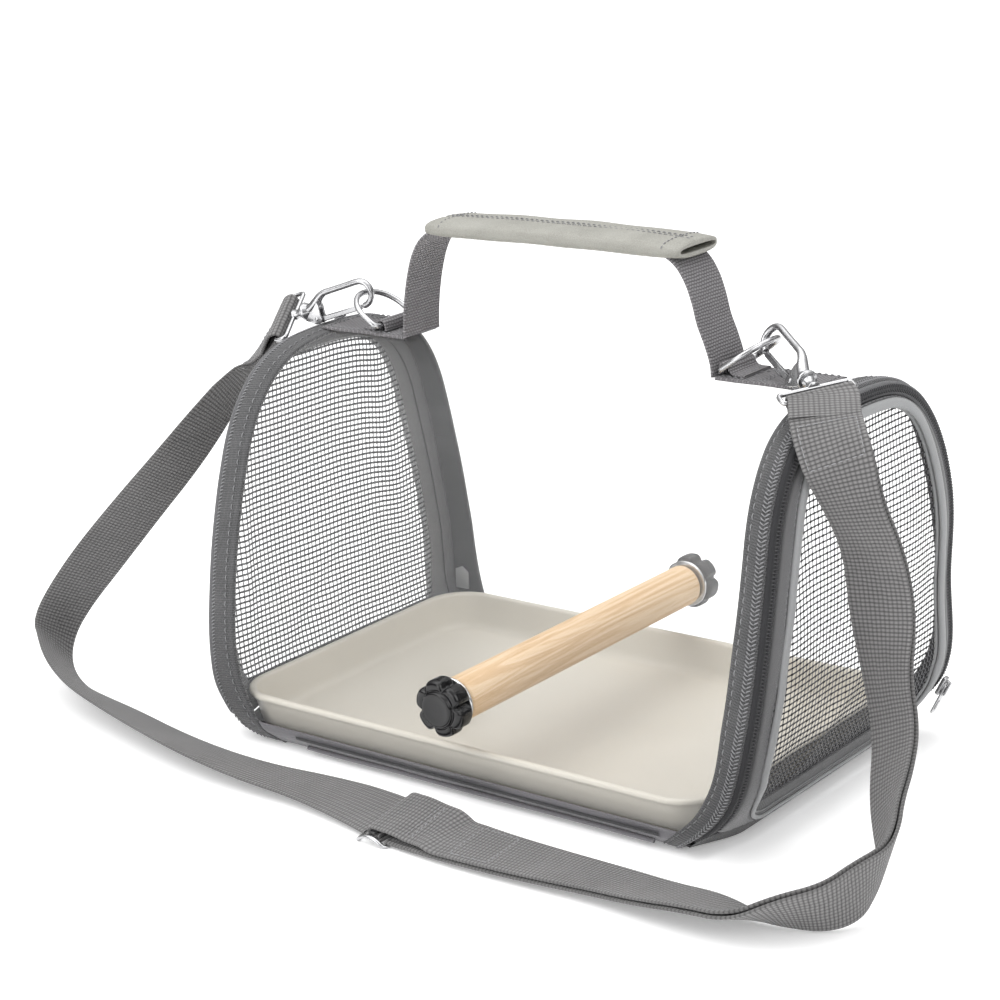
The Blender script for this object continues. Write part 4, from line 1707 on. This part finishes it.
b_ = Build()
st = Build()
for s in (-1, 1):
    # from the foot's bend along the top to the ring, sewn down
    x = np.linspace(95.2, 149.6, 40)
    c = np.stack([s * x, 0 * x, TOP_Z + HANDLE_T / 2 + 0.10 * np.sin(x / 6.0) + 0 * x], -1)
    t = units(np.gradient(c, axis=0))
    w = np.tile(A([0, 1.0, 0]), (40, 1))
    ribbon(b_, c, t, w, np.cross(t, w), HANDLE_W, HANDLE_T - 0.1)
    up = np.tile(A([0, 0, 1.0]), (30, 1))
    top = TOP_Z + HANDLE_T + 0.22
    for y in (-12.0, 12.0):
        ln = np.stack([s * np.linspace(97, 148, 30), np.full(30, y), np.full(30, top)], -1)
        dashes(st, ln, up, 3.2, 2.2, 0.28)
    for x0 in (98.0, 119.0, 121.0, 147.0):
        ln = np.stack([np.full(30, s * x0), np.linspace(-12, 12, 30), np.full(30, top)], -1)
        dashes(st, ln, up, 3.2, 2.2, 0.28)
    for sg in (-1, 1):
        ln = np.stack([s * np.linspace(99, 118, 30), sg * np.linspace(-11.4, 11.4, 30), np.full(30, top)], -1)
        dashes(st, ln, up, 3.2, 2.2, 0.28)
anch = b_.done("handle_anchor_webbing", mat_handle_web)
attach(anch, "carrier"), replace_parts(anch, "left_handle_anchor", "right_handle_anchor"), anch
for end, s in (("left", -1), ("right", 1)):
    bar_c, d = HOOKS[end][4], HOOKS[end][5]
    kx, kz = bar_c[0], bar_c[2]
    foot = TOP_Z + HANDLE_T + 0.75
    inner_x, outer_x = kx - s * 2.9, kx + s * 3.0
    pts = [(kx - s * 2.75, foot + 0.15), (kx - s * 2.6, kz - 0.8), (kx - s * 1.9, kz + 1.6), (kx, kz + 2.55), (kx + s * 2.0, kz + 1.6),
           (kx + s * 3.2, kz - 0.8), (kx + s * 4.6, foot + 0.5), (kx + s * 7.0, foot), (kx + s * 11.5, foot)]
    P = A([(x, 0.0, z) for x, z in pts])
    c = hermite(P, P[1] - P[0], P[-1] - P[-2], 6)
    t = units(np.gradient(c, axis=0))
    w = np.tile(A([0, 1.0, 0]), (len(c), 1))
    b_ = Build()
    ribbon(b_, c, t, w, np.cross(t, w), 22.6, 1.3)
    o = b_.done(end + "_ring_loop", mat_handle_web)
    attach(o, "carrier"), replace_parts(o, end + "_ring_keeper"), o
    ln = np.stack([np.full(20, kx + s * 9.0), np.linspace(-10, 10, 20), np.full(20, foot + 0.7)], -1)
    dashes(st, ln, np.tile(A([0, 0, 1.0]), (20, 1)), 3.0, 2.0, 0.26)
o = st.done("anchor_stitches", mat_thread)
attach(o, "carrier"), o

# padded sleeve, with its ends pressed flatter and open
GX0, GX1 = -74.0, 79.0


def grip_section(x):
    u = (x - GX0) / (GX1 - GX0)
    e = min(u, 1 - u)
    full = 1 - math.exp(-e / 0.045)
    hw_, ht = 17.0 - 0.9 * (1 - full) + 0.25 * math.sin(x / 9.0), 3.6 + 1.35 * full + 0.10 * math.sin(x / 6.3)
    cz = GRIP_Z + 0.9 * math.sin(math.pi * u) - 0.2
    return hw_, ht, cz


b_ = Build()
xs = np.concatenate([[GX0], np.linspace(GX0 + 0.4, GX1 - 0.4, 110), [GX1]])
an = np.linspace(0, 2 * math.pi, 64, endpoint=False)
outer_rows, inner_rows = [], []
for x in xs:
    hw_, ht, cz = grip_section(x)
    edge = 0.55 if x in (GX0, GX1) else 0.0
    ce, se = np.cos(an), np.sin(an)
    p = 2.9
    rad = (np.abs(ce) ** p + np.abs(se) ** p) ** (-1 / p)
    y = (hw_ - edge) * rad * ce
    z = (ht - edge) * rad * se
    crown = 0.25 * wob(y + 0 * y, x + 0 * y, 13, 41) * (se > 0)
    seam_ = -0.55 * np.exp(-(y / 0.9) ** 2) * (se > 0)
    z = z + crown + seam_
    outer_rows.append(np.stack([np.full(64, x), y, cz + z], -1))
    yi = (14.6) * rad * ce
    zi = np.where(se > 0, 1.45, 1.45 + 3.0 * math.exp(-min(x - GX0, GX1 - x) / 5.0) * 0) * rad * se
    inner_rows.append(np.stack([np.full(64, x), yi, cz + 0.0 + zi], -1))
b_.grid(A(outer_rows), cv=True, U=xs, V=np.linspace(0, 92, 65), flip=False)
b_.grid(A([outer_rows[0], inner_rows[0]]), cv=True, flip=True)
b_.grid(A([outer_rows[-1], inner_rows[-1]]), cv=True, flip=False)
b_.grid(A([inner_rows[0], inner_rows[-1]]), cv=True, flip=True)
grip = b_.done("handle_grip_pad", mat_pad)
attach(grip, "handle"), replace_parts(grip, "handle_grip"), grip
b_ = Build()
for y in (-1.7, 1.7):
    ln, nn = [], []
    for x in np.linspace(GX0 + 3, GX1 - 3, 90):
        hw_, ht, cz = grip_section(x)
        ln.append((x, y, cz + ht + 0.02))
        nn.append((0, 0, 1))
    dashes(b_, A(ln), A(nn, ), 3.1, 2.2, 0.26)
for x in (GX0 + 9.5, GX1 - 9.5):
    hw_, ht, cz = grip_section(x)
    k = np.linspace(math.radians(8), math.radians(172), 50)
    rad = (np.abs(np.cos(k)) ** 2.9 + np.abs(np.sin(k)) ** 2.9) ** (-1 / 2.9)
    ln = np.stack([np.full(50, x), hw_ * rad * np.cos(k), cz + ht * rad * np.sin(k) + 0.05], -1)
    nn = units(np.stack([0 * k, np.cos(k) * 0.3, np.sin(k)], -1))
    dashes(b_, ln, nn, 3.0, 2.1, 0.26)
o = b_.done("grip_stitches", mat_thread)
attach(o, "handle"), o

# --------------------------------------------------------------------------
# zip sliders and pull tabs
# --------------------------------------------------------------------------
for end, (out_tab, win_tab, sx) in ENDS.items():
    lin_at = lambda z: float(np.interp(z, [q[0] for q in out_tab], [q[1] for q in out_tab]))
    rise = lin_at(32.0) - lin_at(20.0)
    m = math.hypot(rise, 12.0)
    up = A([rise / m, 0, 12.0 / m])
    fn = A([sx * 12.0 / m, 0, -sx * rise / m])
    ey = np.cross(fn, up)
    mid = A([lin_at(26.0) + sx * 3.0, 95.9, 26.0]) + 0.35 * fn
    b_ = Build()
    out_ = [(x, y * (1.0 if x < 0 else 0.86)) for x, y in rounded(5.5, 2.8, 1.6)]
    plate(b_, out_, mid + 1.1 * fn, up, ey, fn, 1.05, 0.45)
    for k in (-3.6, 3.6):
        plate(b_, rounded(0.75, 0.85, 0.3, cx=k), mid + 3.1 * fn, up, ey, fn, 1.0, 0.2)
    plate(b_, rounded(4.35, 0.85, 0.6), mid + 4.42 * fn, up, ey, fn, 0.45, 0.2)
    o = b_.done(end + "_slider_body", mat_chrome)
    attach(o, "carrier"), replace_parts(o, end + "_zip_slider"), o
    b_ = Build()
    tab = [(-16.7, 0.0)] + [(x, y) for x, y in rounded(9.5, 2.7, 2.0, cx=-7.2) if True][1:]
    tab = rounded(9.5, 2.7, 2.1, seg=8, cx=-7.2)
    plate(b_, tab, mid + 3.2 * fn, up, ey, fn, 0.44, 0.16, cut=rounded(3.0, 1.15, 0.4, seg=8, cx=-1.725))
    # raised bar along the tab
    plate(b_, rounded(2.9, 1.15, 0.9, seg=5, cx=-11.4), mid + 3.72 * fn, up, ey, fn, 0.2, 0.1)
    o = b_.done(end + "_pull_tab", mat_chrome)
    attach(o, end + "_zip_tab"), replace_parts(o, end + "_zip_pull"), o

# --------------------------------------------------------------------------
# floor, light
# --------------------------------------------------------------------------
fl = Graph("pale_floor")
o_ = fl.obj((1, 1, 1))
fn_ = fl.noise(o_, 3.0, 2.0)
fl.bsdf.inputs["Emission Color"].default_value = (1.0, 1.0, 1.0, 1.0)
fl.bsdf.inputs["Emission Strength"].default_value = 0.22
fl.set(color=fl.ramp(fn_, [(0.3, (0.93, 0.93, 0.93)), (0.7, (0.95, 0.95, 0.95))]), rough=0.9, spec=0.05)
g = 12.0
me = bpy.data.meshes.new("floor")
me.from_pydata([(-g, -g, -0.0002), (g, -g, -0.0002), (g, g, -0.0002), (-g, g, -0.0002)], [], [(0, 1, 2, 3)])
me.materials.append(fl.mat)
floor = bpy.data.objects.new("floor", me)
scene.collection.objects.link(floor)

world = bpy.data.worlds.new("studio")
scene.world = world
world.use_nodes = True
wt = world.node_tree
bg = wt.nodes["Background"]
bg.inputs["Strength"].default_value = 1.0
tc = wt.nodes.new("ShaderNodeTexCoord")
sep = wt.nodes.new("ShaderNodeSeparateXYZ")
wt.links.new(tc.outputs["Generated"], sep.inputs[0])
rmp = wt.nodes.new("ShaderNodeValToRGB")
el = rmp.color_ramp.elements
while len(el) < 4:
    el.new(0.5)
for e, (p_, v_) in zip(el, ((0.0, 0.18), (0.30, 0.30), (0.55, 0.88), (1.0, 1.42))):
    e.position, e.color = p_, (v_, v_, v_, 1.0)
wt.links.new(sep.outputs[2], rmp.inputs[0])
wt.links.new(rmp.outputs[0], bg.inputs["Color"])


def area(name, loc, target, size, power, color=(1, 1, 1)):
    li = bpy.data.lights.new(name, "AREA")
    li.shape = "RECTANGLE"
    li.size, li.size_y = size
    li.energy = power
    li.color = color
    ob = bpy.data.objects.new(name, li)
    scene.collection.objects.link(ob)
    ob.location = loc
    dvec = Vector(target) - Vector(loc)
    ob.rotation_euler = dvec.to_track_quat("-Z", "Y").to_euler()
    return ob


area("key_light", (-0.9, -1.3, 1.9), (0, 0, 0.1), (1.8, 1.8), 22.0)
area("fill_light", (1.7, -0.7, 1.1), (0, 0, 0.1), (1.2, 1.2), 10.0)
area("front_light", (-0.35, -2.0, 0.5), (0, 0, 0.1), (1.3, 0.9), 10.0)
area("top_light", (0.1, 0.5, 2.2), (0, 0, 0.1), (2.0, 1.6), 16.0)
scene.view_settings.view_transform = "Standard"
scene.view_settings.look = "None"
scene.view_settings.exposure = 0.0
